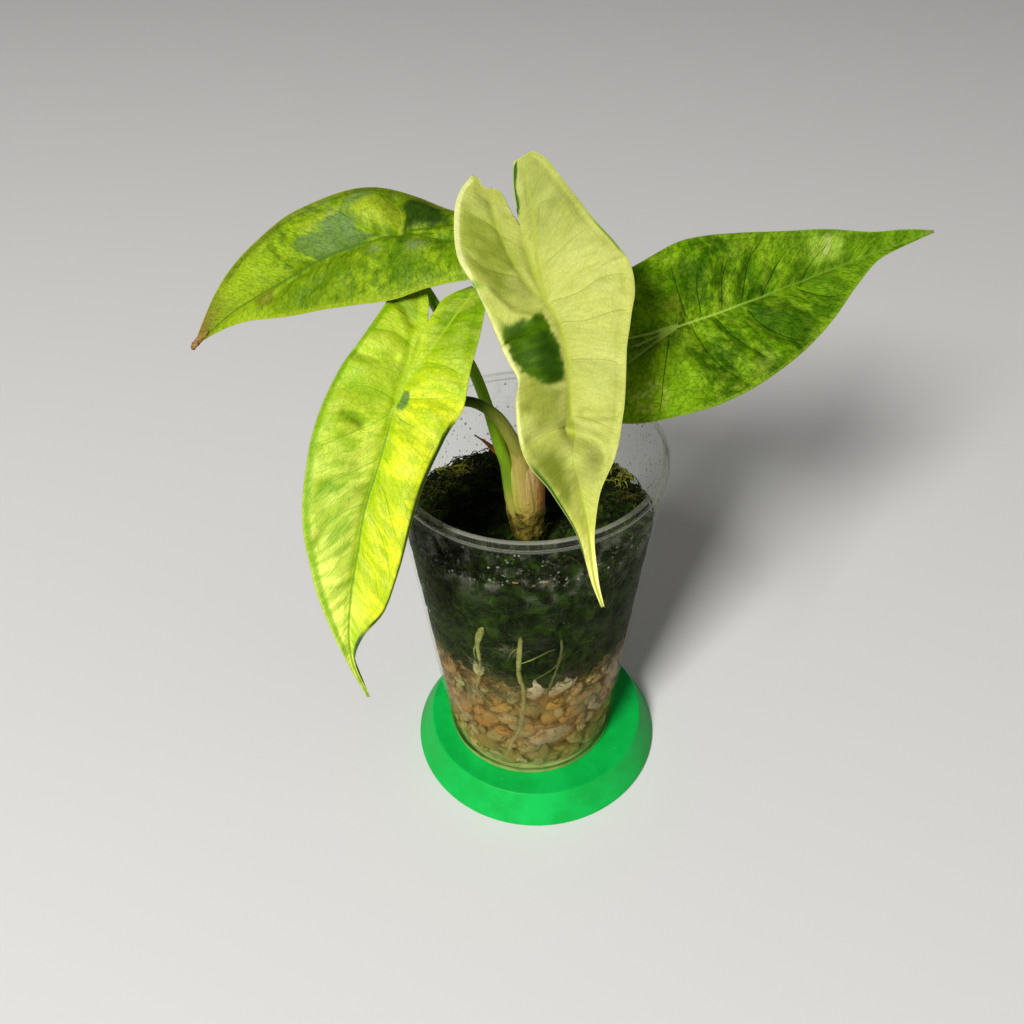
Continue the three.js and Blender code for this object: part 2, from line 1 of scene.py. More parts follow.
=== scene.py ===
# Looks of the potted arrow-leaved plant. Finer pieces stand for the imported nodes: leaves with their
# veins and colours, stem, roots, moss, pumice, the clear cup and the green stand.
# Lengths are millimetres, as in the part's source, and become metres where a mesh is made.
import math

import bmesh
import bpy
import numpy as np
from mathutils import Matrix


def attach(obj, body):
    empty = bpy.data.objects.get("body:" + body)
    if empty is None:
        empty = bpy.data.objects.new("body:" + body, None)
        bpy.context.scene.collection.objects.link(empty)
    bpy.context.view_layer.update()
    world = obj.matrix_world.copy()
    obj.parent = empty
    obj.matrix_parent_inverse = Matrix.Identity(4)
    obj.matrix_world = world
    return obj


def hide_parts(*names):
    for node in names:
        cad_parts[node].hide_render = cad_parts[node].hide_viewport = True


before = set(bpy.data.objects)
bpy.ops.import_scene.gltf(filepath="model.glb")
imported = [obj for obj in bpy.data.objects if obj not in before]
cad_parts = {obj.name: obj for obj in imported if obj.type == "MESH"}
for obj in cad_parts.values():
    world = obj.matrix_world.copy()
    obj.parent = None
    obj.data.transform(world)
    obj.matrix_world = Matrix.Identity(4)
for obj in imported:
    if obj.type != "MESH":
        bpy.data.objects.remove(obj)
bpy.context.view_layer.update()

MM = 0.001
FINE = 1.0

# The photo's camera, worked out from the circles of the cup and the stand
PHOTO_SIZE = 1024
FOCAL_PIXELS = 1050.0
CAMERA_PLACE = (0.0, -276.85, 367.71)
CAMERA_DOWN = 41.507
CAMERA_TURN = -1.228
CAMERA_ROLL = -1.248
SENSOR_WIDTH = 36
CLIP_RANGE = (0.01, 10)


def camera_axes():
    """The camera's right, up and forward directions."""
    down, turn, roll = (math.radians(a) for a in (CAMERA_DOWN, CAMERA_TURN, CAMERA_ROLL))
    flat = math.cos(down)
    forward = np.array([math.sin(turn) * flat, math.cos(turn) * flat, -math.sin(down)])
    right = np.cross(forward, [0, 0, 1])
    right /= np.linalg.norm(right)
    up = np.cross(right, forward)
    turned_right = math.cos(roll) * right + math.sin(roll) * up
    turned_up = -math.sin(roll) * right + math.cos(roll) * up
    return turned_right, turned_up, forward


def to_pixels(points):
    """Where points of the row frame, in millimetres, fall in the photo."""
    right, up, forward = camera_axes()
    away = np.asarray(points, float) - CAMERA_PLACE
    depth = away @ forward
    middle = PHOTO_SIZE / 2
    across = middle + FOCAL_PIXELS * (away @ right) / depth
    below = middle - FOCAL_PIXELS * (away @ up) / depth
    return np.stack([across, below], -1)


def pixel_rays(pixels):
    """The directions in which the photo's camera sees these pixels."""
    right, up, forward = camera_axes()
    away = (np.asarray(pixels, float) - PHOTO_SIZE / 2) / FOCAL_PIXELS
    return unit(forward + away[:, :1] * right - away[:, 1:] * up)


def put_in_scene(name, data):
    thing = bpy.data.objects.new(name, data)
    bpy.context.scene.collection.objects.link(thing)
    return thing


def aim(thing, place, right, up, forward):
    """Puts a camera or a light at a place in metres, looking forward."""
    columns = np.column_stack([right, up, -forward, place])
    thing.matrix_world = Matrix([*columns.tolist(), (0, 0, 0, 1)])


def make_camera():
    data = bpy.data.cameras.new("photo_camera")
    data.sensor_width = SENSOR_WIDTH
    data.lens = SENSOR_WIDTH * FOCAL_PIXELS / PHOTO_SIZE
    data.clip_start, data.clip_end = CLIP_RANGE
    camera = put_in_scene("photo_camera", data)
    aim(camera, np.array(CAMERA_PLACE) * MM, *camera_axes())
    bpy.context.scene.camera = camera


# Curves, noise and distances

def smooth_curve(stations, values, at):
    """The part's curve through the values at rising stations, for many places at once."""
    stations = np.asarray(stations, float)
    values = np.asarray(values, float).reshape(len(stations), -1)
    at = np.clip(np.asarray(at, float), stations[0], stations[-1])
    spans = np.diff(stations)[:, None]
    rises = np.diff(values, axis=0) / spans
    slopes = np.empty_like(values)
    slopes[0], slopes[-1] = rises[0], rises[-1]
    before, after = spans[:-1], spans[1:]
    slopes[1:-1] = (rises[:-1] * after + rises[1:] * before) / (before + after)
    i = np.clip(np.searchsorted(stations, at, side="right") - 1, 0, len(stations) - 2)
    h = spans[i]
    t = ((at - stations[i]) / h[..., 0])[..., None]
    return (values[i] * (2 * t**3 - 3 * t**2 + 1) + slopes[i] * h * (t**3 - 2 * t**2 + t)
            + values[i + 1] * (3 * t**2 - 2 * t**3) + slopes[i + 1] * h * (t**3 - t**2))


def unit(vectors):
    return vectors / np.linalg.norm(vectors, axis=-1, keepdims=True)


def step(values, low, high):
    """0 below low, 1 above high, and smooth between them."""
    t = np.clip((np.asarray(values, float) - low) / (high - low), 0, 1)
    return t * t * (3 - 2 * t)


LATTICE = 64
LATTICE_START = (31.7, 17.3)


def grain(x, y, size, seed, octaves=3):
    """A smooth random field, about -1 to 1, whose lumps are size across."""
    random = np.random.default_rng(seed)
    total = np.zeros(np.shape(x))
    weight = 1.0
    for _ in range(octaves):
        lattice = random.uniform(-1, 1, (LATTICE, LATTICE))
        u, v = x / size + LATTICE_START[0], y / size + LATTICE_START[1]
        i, j = np.floor(u).astype(int), np.floor(v).astype(int)
        fu, fv = step(u - i, 0, 1), step(v - j, 0, 1)
        corner = lambda a, b: lattice[(i + a) % LATTICE, (j + b) % LATTICE]
        near = corner(0, 0) * (1 - fu) + corner(1, 0) * fu
        far = corner(0, 1) * (1 - fu) + corner(1, 1) * fu
        total += weight * (near * (1 - fv) + far * fv)
        size, weight = size / 2, weight / 2
    return total


def line_distance(x, y, lines):
    """Distance from each point to the nearest line, and that distance as a share of the line's
    half width there, below zero on one side of the line.
    A line is (points, half width at its start, half width at its end)."""
    nearest = np.full(x.shape, 99.0)
    share = np.full(x.shape, 99.0)
    for points, wide, narrow in lines:
        points = np.asarray(points, float)
        widths = np.linspace(wide, narrow, len(points))
        for (ax, ay), (bx, by), wa, wb in zip(points, points[1:], widths, widths[1:]):
            length = max((bx - ax)**2 + (by - ay)**2, 1e-9)
            t = np.clip(((x - ax) * (bx - ax) + (y - ay) * (by - ay)) / length, 0, 1)
            away = np.hypot(x - ax - t * (bx - ax), y - ay - t * (by - ay))
            hand = np.where((bx - ax) * (y - ay) >= (by - ay) * (x - ax), 1, -1)
            closer = away < nearest
            share = np.where(closer, hand * away / (wa + t * (wb - wa)), share)
            nearest = np.where(closer, away, nearest)
    return nearest, share


def depth_inside(x, y, outline):
    """How far each point lies inside a closed outline; points outside it count below zero."""
    outline = np.asarray(outline, float)
    closed = np.vstack([outline, outline[:1]])
    away, _ = line_distance(x, y, [(closed, 1, 1)])
    inside = np.zeros(x.shape, bool)
    for (ax, ay), (bx, by) in zip(closed, closed[1:]):
        if ay != by:
            crosses = (ay > y) != (by > y)
            inside ^= crosses & (x < (bx - ax) * (y - ay) / (by - ay) + ax)
    return np.where(inside, away, -away)


def srgb(red, green, blue):
    """A colour read as 0 to 255, in the renderer's own linear values."""
    share = np.array([red, green, blue]) / 255
    return np.where(share <= 0.04045, share / 12.92, ((share + 0.055) / 1.055)**2.4)


def spread(values, count):
    """A smooth curve through values at even steps, at count places along it."""
    values = np.asarray(values, float)
    return smooth_curve(range(len(values)), values, np.linspace(0, len(values) - 1, count))


def row_curve(rows, at):
    """The smooth curve through rows that each start with their station."""
    rows = np.asarray(rows, float)
    return smooth_curve(rows[:, 0], rows[:, 1:], at)


def full_turn(count):
    """Angles at even steps round a full turn."""
    return np.linspace(0, 2 * math.pi, count, endpoint=False)


def round_axis(reach, angle, z):
    """Points round the cup's axis."""
    return np.stack([reach * np.cos(angle), reach * np.sin(angle), z], -1)


def band_faces(rows):
    """Four-sided faces between rows of points, where each row is a closed ring."""
    turn = np.roll(rows, -1, axis=-1)
    near, far = rows[..., :-1, :], rows[..., 1:, :]
    turned_near, turned_far = turn[..., :-1, :], turn[..., 1:, :]
    return np.stack([near, turned_near, turned_far, far], -1).reshape(-1, 4)


def closed_rings(rows, start, end):
    """Points and faces of a stack of rings, closed by a fan to a start point and to an end point."""
    rows = np.asarray(rows, float)
    points = np.vstack([rows.reshape(-1, 3), start, end])
    i = np.arange(len(points) - 2).reshape(rows.shape[:2])
    faces = band_faces(i).tolist()
    for ring, tip in ((i[0][::-1], len(points) - 2), (i[-1], len(points) - 1)):
        faces += [[int(a), int(b), tip] for a, b in zip(ring, np.roll(ring, -1))]
    return points, faces


# Objects, and what they stand for

def new_piece(name, points, faces, material, fields=None):
    """A smooth mesh object from millimetre points, with its attributes and material."""
    mesh = bpy.data.meshes.new(name)
    faces = faces if isinstance(faces, list) else faces.tolist()
    mesh.from_pydata((np.asarray(points) * MM).tolist(), [], faces)
    mesh.polygons.foreach_set("use_smooth", [True] * len(mesh.polygons))
    for field, values in (fields or {}).items():
        values = np.asarray(values, np.float32)
        kind, key = ("FLOAT", "value") if values.ndim == 1 else ("FLOAT_VECTOR", "vector")
        if field == "tint":
            kind, key = "FLOAT_COLOR", "color"
            values = np.hstack([values, np.ones((len(values), 1), np.float32)])
        mesh.attributes.new(field, kind, "POINT").data.foreach_set(key, values.reshape(-1))
    mesh.materials.append(material)
    mesh.validate()
    return put_in_scene(name, mesh)


def stands_for(piece, node):
    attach(piece, "root")
    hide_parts(node)
    return piece


def adds_to(piece):
    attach(piece, "root")
    return piece


# Materials

class Shader:
    """One material and the nodes in it. Inputs are numbers, colours or other nodes' outputs."""

    def __init__(self, name):
        self.material = bpy.data.materials.new(name)
        self.material.use_nodes = True
        self.tree = self.material.node_tree
        self.tree.nodes.clear()
        self.output = self.tree.nodes.new("ShaderNodeOutputMaterial")

    def add(self, kind, inputs=None, **settings):
        node = self.tree.nodes.new(kind)
        for key, value in settings.items():
            setattr(node, key, value)
        for key, value in (inputs or {}).items():
            self.feed(node.inputs[key], value)
        return node

    def feed(self, socket, value):
        if isinstance(value, bpy.types.NodeSocket):
            self.tree.links.new(value, socket)
        elif socket.type == "RGBA" and len(value) == 3:
            socket.default_value = (*value, 1)
        else:
            socket.default_value = value

    def field(self, name, output="Fac"):
        return self.add("ShaderNodeAttribute", attribute_name=name).outputs[output]

    def place(self):
        """The point's place in millimetres."""
        here = self.add("ShaderNodeTexCoord").outputs["Object"]
        scaled = self.add("ShaderNodeVectorMath", {0: here, "Scale": 1 / MM}, operation="SCALE")
        return scaled.outputs[0]

    def part(self, vector, index):
        return self.add("ShaderNodeSeparateXYZ", {0: vector}).outputs[index]

    def stretch(self, vector, factors):
        node = self.add("ShaderNodeVectorMath", {0: vector, 1: factors}, operation="MULTIPLY")
        return node.outputs[0]

    def noise(self, vector, size, detail=3.0, rough=0.55):
        inputs = {"Vector": vector, "Scale": 1 / size, "Detail": detail, "Roughness": rough}
        return self.add("ShaderNodeTexNoise", inputs).outputs[0]

    def cells(self, vector, size):
        """How far each point is from the borders of random cells."""
        inputs = {"Vector": vector, "Scale": 1 / size}
        return self.add("ShaderNodeTexVoronoi", inputs, feature="DISTANCE_TO_EDGE").outputs["Distance"]

    def calc(self, operation, a, b=0.0, clamp=False):
        return self.add("ShaderNodeMath", {0: a, 1: b}, operation=operation, use_clamp=clamp).outputs[0]

    def plus(self, first, *others):
        for other in others:
            first = self.calc("ADD", first, other)
        return first

    def minus(self, a, b):
        return self.calc("SUBTRACT", a, b)

    def times(self, a, b):
        return self.calc("MULTIPLY", a, b)

    def size_of(self, a):
        return self.calc("ABSOLUTE", a)

    def band(self, value, low, high, start=0.0, end=1.0):
        """start below low, end above high, and smooth between them."""
        inputs = {"Value": value, "From Min": low, "From Max": high, "To Min": start, "To Max": end}
        return self.add("ShaderNodeMapRange", inputs, interpolation_type="SMOOTHSTEP").outputs[0]

    def mix(self, share, first, second, blend="MIX"):
        node = self.add("ShaderNodeMix", data_type="RGBA", blend_type=blend)
        for index, value in ((0, share), (6, first), (7, second)):
            self.feed(node.inputs[index], value)
        return node.outputs[2]

    def lay(self, under, colour, value, *limits):
        """A colour laid over another one, by the share that band gives for these limits."""
        if not isinstance(under, bpy.types.NodeSocket):
            under = srgb(*under)
        return self.mix(self.band(value, *limits), under, srgb(*colour))

    def bump(self, height, depth):
        """Small relief: depth is the height in millimetres of a full step of the value."""
        inputs = {"Height": height, "Distance": depth * MM, "Strength": 1.0}
        return self.add("ShaderNodeBump", inputs).outputs[0]

    def solid(self, colour, roughness, normal=None, ior=1.45, shine=0.5):
        """An opaque shader; shine is its specular level."""
        inputs = {"Base Color": colour, "Roughness": roughness, "IOR": ior, "Specular IOR Level": shine}
        if normal is not None:
            inputs["Normal"] = normal
        return self.add("ShaderNodeBsdfPrincipled", inputs).outputs[0]

    def show(self, shader):
        self.tree.links.new(shader, self.output.inputs[0])
        return self.material

    def surface(self, *looks, **more):
        return self.show(self.solid(*looks, **more))

    def see_through(self, share, solid, tint):
        """The solid shader by a share, and clear otherwise."""
        clear = self.add("ShaderNodeBsdfTransparent", {"Color": tint}).outputs[0]
        return self.show(self.add("ShaderNodeMixShader", {0: share, 1: clear, 2: solid}).outputs[0])


# The leaves' shapes, as in the part's source

HANDS = ("right", "left")


class Blade:
    """A leaf's blade. x runs along the midrib from the junction to the tip, y to the leaf's right."""

    LOBE_ROWS = 3
    BEND_REACH = 20
    BEND_PARTS = 6

    def __init__(self, spine, junction, face, tilt, mid, notch, margin, lean, bumps=(), rolls=()):
        self.spine = np.array(spine, float)
        steps = np.linalg.norm(np.diff(self.spine, axis=0), axis=1)
        self.places = np.concatenate([[0], np.cumsum(steps)])
        self.places -= self.places[junction]
        self.face, self.tilt = face, tilt
        self.mid, self.notch, self.margin = mid, notch, margin
        self.lean, self.bumps, self.rolls = lean, bumps, rolls

    def rows(self):
        return len(self.margin["right"]) - 1

    def on_surface(self, x, y, lift=0.0):
        first, end = self.places[0], self.places[-1]
        near = np.clip(x, first + 0.5, end - 0.5)
        centre = smooth_curve(self.places, self.spine, x)
        ahead = smooth_curve(self.places, self.spine, near + 0.5)
        along = unit(ahead - smooth_curve(self.places, self.spine, near - 0.5))
        centre = centre + along * (np.minimum(x - first, 0) + np.maximum(x - end, 0))[..., None]
        toward = row_curve(self.face, x)
        side = unit(np.cross(along, toward))
        up = np.cross(side, along)
        right, left = (row_curve(self.tilt[hand], x) for hand in HANDS)
        angles = np.radians(np.where((y >= 0)[..., None], right, left))
        hand, reach = np.where(y >= 0, 1.0, -1.0), np.abs(y)
        bend = lambda w: angles[..., 0] + angles[..., 1] * (w / self.BEND_REACH)**2
        parts = [bend((k + 0.5) / self.BEND_PARTS * reach) for k in range(self.BEND_PARTS)]
        out = sum(np.cos(part) for part in parts) * reach / self.BEND_PARTS
        rise = sum(np.sin(part) for part in parts) * reach / self.BEND_PARTS
        last = bend(reach)
        normal = up * np.cos(last)[..., None] - side * (hand * np.sin(last))[..., None]
        height = np.zeros(np.shape(x)) + lift
        for bx, by, sx, sy, tall in self.bumps:
            height = height + tall * np.exp(-((x - bx) / sx)**2 - ((y - by) / sy)**2)
        return (centre + side * (hand * out)[..., None] + up * rise[..., None]
                + normal * height[..., None])

    def notch_line(self, hand, t):
        rows = self.notch[hand]
        if len(rows[0]) == 2:
            rows = [(station, *row) for station, row in enumerate(rows)]
        return row_curve([*rows, (self.LOBE_ROWS, self.mid[0], 0)], t)

    def edge(self, hand, t):
        return smooth_curve(range(self.rows() + 1), self.margin[hand], t)

    def inner(self, hand, t):
        lobe = self.notch_line(hand, t)
        stations = np.arange(len(self.mid)) + self.LOBE_ROWS
        body = smooth_curve(stations, self.mid, t)
        body = np.concatenate([body, np.zeros_like(body)], -1)
        return np.where((t >= self.LOBE_ROWS)[..., None], body, lobe)

    def plan(self, hand, t, part):
        """Leaf coordinates of the place a part of the way out along row t, what its rolled margin
        adds to the height, and how far it is from the margin along the blade. The rolled strip
        bends away within the same outline."""
        inner = self.inner(hand, t)
        outer = self.edge(hand, t)
        length = np.linalg.norm(outer - inner, axis=-1)
        out = (outer - inner) / np.maximum(length, 1e-6)[..., None]
        lift = np.zeros(np.shape(part))
        from_margin = (1 - part) * length
        reach = length - from_margin
        for roll_hand, rows, widths, radius, way in self.rolls:
            if roll_hand == hand:
                width = smooth_curve(rows, widths, t)[..., 0]
                width = np.where((t > rows[0]) & (t < rows[-1]), width, 0)
                length = length + (width - radius * np.sin(width / radius))
                from_margin = (1 - part) * length
                wrapped = np.clip(width - from_margin, 0, None) / radius
                lift = lift + way * radius * (1 - np.cos(wrapped))
                reach = length - np.where(wrapped > 0, width - radius * np.sin(wrapped), from_margin)
        place = inner + out * reach[..., None]
        x, y = place[..., 0], np.maximum(place[..., 1], 0)
        return x, (y if hand == "right" else np.minimum(-y, -1e-9)), lift, from_margin

    def weave(self, x, y):
        """Where the side vein through each point leaves the midrib."""
        root = np.array(x, float)
        for _ in range(12):
            lean = row_curve(self.lean, root)[..., 0]
            root = root + 0.5 * (x - lean * np.abs(y) - root)
        return root

    def outline(self):
        """The margin and the notch as one closed line in leaf coordinates."""
        t = np.linspace(0, self.rows(), 120)
        sides = {}
        for hand, sign in (("right", 1), ("left", -1)):
            sides[hand] = self.edge(hand, t) * (1, sign)
            notch = self.notch_line(hand, np.linspace(self.LOBE_ROWS, 0, 40))
            sides[hand + " notch"] = notch * (1, sign)
        return np.vstack([sides["right notch"], sides["right"], sides["left"][::-1],
                          sides["left notch"][::-1]])

    def at_pixels(self, pixels):
        """Leaf coordinates of the places that the photo shows at these pixels."""
        pixels = np.asarray(pixels, float)
        rows, columns, nudge = 60, 12, 0.2
        t = np.linspace(0, self.rows(), rows)[:, None] * np.ones(columns)
        part = np.ones((rows, 1)) * np.linspace(0, 1, columns)
        known = [np.stack(self.plan(hand, t, part)[:2], -1).reshape(-1, 2) for hand in HANDS]
        known = np.vstack(known)
        seen = to_pixels(self.on_surface(known[:, 0], known[:, 1]))
        guess = known[np.argmin(((seen[None] - pixels[:, None])**2).sum(-1), 1)]
        for _ in range(12):
            x, y = guess[:, 0], guess[:, 1]
            here = to_pixels(self.on_surface(x, y))
            gx = (to_pixels(self.on_surface(x + nudge, y)) - here) / nudge
            gy = (to_pixels(self.on_surface(x, y + nudge)) - here) / nudge
            miss = pixels - here
            scale = gx[:, 0] * gy[:, 1] - gx[:, 1] * gy[:, 0]
            scale = np.where(np.abs(scale) < 0.3, 0.3, scale)
            dx = (miss[:, 0] * gy[:, 1] - miss[:, 1] * gy[:, 0]) / scale
            dy = (gx[:, 0] * miss[:, 1] - gx[:, 1] * miss[:, 0]) / scale
            move = np.stack([dx, dy], -1)
            guess = guess + 0.8 * np.clip(move, -4, 4)
        return guess


BLADES = {
    "leaf_left_back": Blade(
        spine=[(-13.2, -3, 231), (-21.6, 0, 229.7), (-39.4, 4, 226.4), (-50.6, 6, 223), (-62.5, 8, 217.2),
               (-76.5, 10, 208), (-89.5, 11, 200), (-106.8, 11, 186.5)],
        junction=2,
        face=[(-38, 0, -0.6, 0.8), (76, 0, -0.6, 0.8)],
        tilt={"right": [(-35, -45, -20), (-10, -20, -20), (5, 0, -15), (79, 8, -10)],
              "left": [(-42, 5, -10), (95, 5, -10)]},
        mid=[-18.5, -9, 1, 13, 27, 42, 58, 79.4],
        notch={"right": [(-32, 6.5), (-28.5, 3.5), (-23.5, 1.2)],
               "left": [(-33, 7), (-29, 3.5), (-24, 1.2)]},
        margin={"right": [(-33, 8), (-29.5, 10.5), (-24, 11), (-16, 10.5), (-6, 14.4), (6, 16.8),
                          (22, 16.4), (36, 15.8), (50, 13.6), (64, 8), (79.6, 0.3)],
                "left": [(-35, 10), (-31, 14), (-24, 16), (-13, 17.8), (-1, 20.2), (14, 19),
                         (29, 15.6), (42, 11.6), (56, 6.4), (68, 2.8), (79.6, 0.3)]},
        lean=[(-30, -0.6), (-5, 0), (5, 0.7), (25, 0.9), (60, 1.2)],
        bumps=[(8, 9, 6, 6, 2)],
    ),
    "leaf_left_front": Blade(
        spine=[(-25.2, -6, 215.9), (-28.5, -16, 209.7), (-37.3, -33, 193.6), (-43.6, -47, 178),
               (-46.6, -53.5, 171), (-49.2, -60.5, 160), (-51.7, -66.5, 149), (-52.5, -75, 131.4),
               (-48.5, -79, 119.2)],
        junction=2,
        face=[(-40, 0, -0.75, 0.66), (0, 0, -0.75, 0.66), (60, 0, -0.9, 0.45), (96, 0, -1, 0.2)],
        tilt={"right": [(-42, -10, -10), (-24, -2, -10), (-4, 10, -8), (95, 12, -8)],
              "left": [(-42, 15, -8), (95, 20, -8)]},
        mid=[-25, -12, 0, 12, 24, 37, 50, 63, 76, 91.2],
        notch={"right": [(-37, 6), (-34, 3), (-30, 1.2)],
               "left": [(-36, 5.5), (-33.2, 2.4), (-30, 1.2)]},
        margin={"right": [(-38.5, 8.5), (-35, 12), (-26, 14), (-15, 15.8), (-3, 18.5), (10, 20.2),
                          (22, 19.8), (34, 17.4), (46, 14.3), (59, 9), (71, 3.6), (79, 1.2), (91.4, 0.3)],
                "left": [(-38.5, 9.5), (-34.5, 14.5), (-27, 16), (-16, 17.2), (-4, 19.4), (7, 16.6),
                         (20, 14.5), (34, 14.4), (48, 13), (60, 10.8), (70, 4.2), (79, 0.8), (91.4, 0.3)]},
        lean=[(-30, -0.3), (-5, -0.1), (5, 0.4), (20, 1.2), (60, 1.5)],
        rolls=[("left", [4.1, 4.9, 6.5, 9.0, 10.2, 11.3], [0, 2.1, 2.0, 1.3, 1.9, 0], 1.5, -1),
               ("right", [1, 2.5, 9, 11], [0, 1.6, 1.6, 0], 2.4, -1)],
    ),
    "leaf_centre": Blade(
        spine=[(-5, -8, 248), (-1.8, -19, 240.4), (4.6, -35, 227.7), (8.4, -42, 223.8),
               (10.2, -49, 218.2), (11, -61, 206.8), (13, -70, 192.8), (14.9, -73.5, 184.5),
               (18, -77, 163.8), (20.2, -77.5, 155.7)],
        junction=2,
        face=[(-35, 0, -0.75, 0.66), (0, 0, -0.78, 0.62), (35, 0, -0.8, 0.6), (60, 0, -0.95, 0.3),
              (90, 0, -1, 0.15)],
        tilt={"right": [(-42, 12, -8), (40, 12, -8), (95, 15, -8)],
              "left": [(-42, 12, -8), (40, 12, -8), (95, 15, -8)]},
        mid=[-21.4, -11, -2, 6, 13, 23, 34, 46, 60, 74, 90.2],
        notch={"right": [(0, -37.2, 7.4), (0.5, -34.6, 6.9), (0.8, -33.6, 5.7), (1.15, -33.2, 3.5),
                         (1.5, -31, 2.2), (2, -27.5, 1.5)],
               "left": [(-40, 3), (-36.5, 1.8), (-31, 0.8)]},
        margin={"right": [(-38.5, 9), (-34, 13.5), (-27, 16.5), (-15, 18.5), (-3, 15.5), (12, 16.3),
                          (22.5, 13.3), (31, 14.4), (42, 13), (51, 7.5), (62, 3.6), (73, 1.6), (82, 0.8),
                          (90.4, 0.3)],
                "left": [(-41, 8.5), (-37.5, 11.5), (-29.5, 14.5), (-19, 18), (-7, 22.5), (5, 23.3),
                         (12, 18), (20, 15), (33, 13.5), (44, 10.5), (54, 5), (65, 1.6), (78, 1.2),
                         (90.4, 0.3)]},
        lean=[(-30, -1), (-8, -0.6), (2, 0.2), (20, 0.25), (35, 0.5), (70, 1.2)],
        bumps=[(-9, 17, 9, 7, 4), (4, 16, 7, 6, -2.5), (20, 13, 5, 5, -1.5), (31, 14, 6, 5, 1.5)],
        rolls=[("right", [2.9, 3.5, 3.9, 4.3, 5.6, 6.6, 7.4, 8.4], [0, 2.6, 3.6, 2.2, 2.0, 2.6, 1.2, 0],
                1.9, -1)],
    ),
    "leaf_right": Blade(
        spine=[(18, -20, 198), (29.3, -16, 200), (44.4, -10, 203.8), (55.3, -6, 205.4), (65.1, -2, 206.9),
               (76.7, 3, 208.7), (94.6, 10, 212.2), (109, 15, 215), (123.5, 19, 218.4)],
        junction=2,
        face=[(-38, 0, -0.65, 0.76), (76, 0, -0.65, 0.76)],
        tilt={"right": [(-42, 8, -10), (95, 8, -10)], "left": [(-42, 8, -10), (95, 8, -10)]},
        mid=[-20, -10, 0, 11, 22, 34, 46, 58, 70, 85.6],
        notch={"right": [(-36, 7), (-31, 3.5), (-26, 1.2)],
               "left": [(-36, 7), (-31, 3.5), (-26, 1.2)]},
        margin={"right": [(-38, 11), (-34, 17), (-26, 21), (-16, 23.8), (-3, 26.3), (9, 25.8), (22, 23.2),
                          (34, 19.5), (45, 14.5), (56, 8), (66, 2.8), (76, 1.2), (86, 0.3)],
                "left": [(-38, 11), (-33, 16), (-25, 19.5), (-14, 21), (-3, 21.8), (8, 24), (17, 23.5),
                         (29, 20.4), (42, 16), (55, 11.6), (67, 6.4), (77, 3.6), (86, 0.3)]},
        lean=[(-30, -1), (-5, -0.6), (3, 0.2), (12, 0.55), (22, 0.95), (60, 1.5)],
    ),
}

# The leaf stalks, as in the part's source: route and radii
STALKS = {
    "leaf_left_back": ([(-1.5, -15.5, 148), (-5, -17.5, 157), (-8.4, -18.5, 165), (-11.7, -16.5, 177.6),
                        (-16.2, -12.5, 190.2), (-22.5, -8, 200.6), (-28.1, -3.4, 209.6), (-35, 1.5, 219.5),
                        (-40, 4.6, 226.4)], [2, 2.2, 2.1, 1.8, 1.7, 1.6, 1.6, 1.5, 1.4]),
    "leaf_left_front": ([(-1, -15.5, 150), (-1.8, -18.8, 160), (-5.2, -22.3, 172.5), (-9.3, -23.5, 181.5),
                         (-15, -24, 186.6), (-21, -24.6, 188.2), (-28, -26.8, 190), (-34, -30, 192),
                         (-37.8, -33.4, 193.6)], [2.4, 2.4, 2.1, 1.8, 1.6, 1.5, 1.5, 1.4, 1.3]),
    "leaf_centre": ([(0, -15, 150), (1.5, -14.5, 166), (3, -17, 188), (4.5, -22.5, 207), (5, -28, 218.5),
                     (4.6, -34.6, 228.4)], [2.2, 2.1, 1.8, 1.6, 1.5, 1.3]),
    "leaf_right": ([(1, -14, 150), (4.5, -10.5, 165), (9, -9, 178), (18, -7, 190), (30, -6, 198.5),
                    (40, -8, 202.6), (44.6, -10.4, 204.2)], [2, 2, 1.8, 1.7, 1.6, 1.5, 1.3]),
}
STEM_ROUTE = [(0, -13.5, 112), (-0.4, -14, 122), (-0.8, -14.8, 134), (-1.2, -15.2, 146), (-1.6, -15.5, 157),
              (-1.6, -15.5, 164), (-1.6, -15.5, 167)]

STEM_RADII = [3.2, 4.6, 6.5, 6.4, 5.9, 4.6, 2.6]

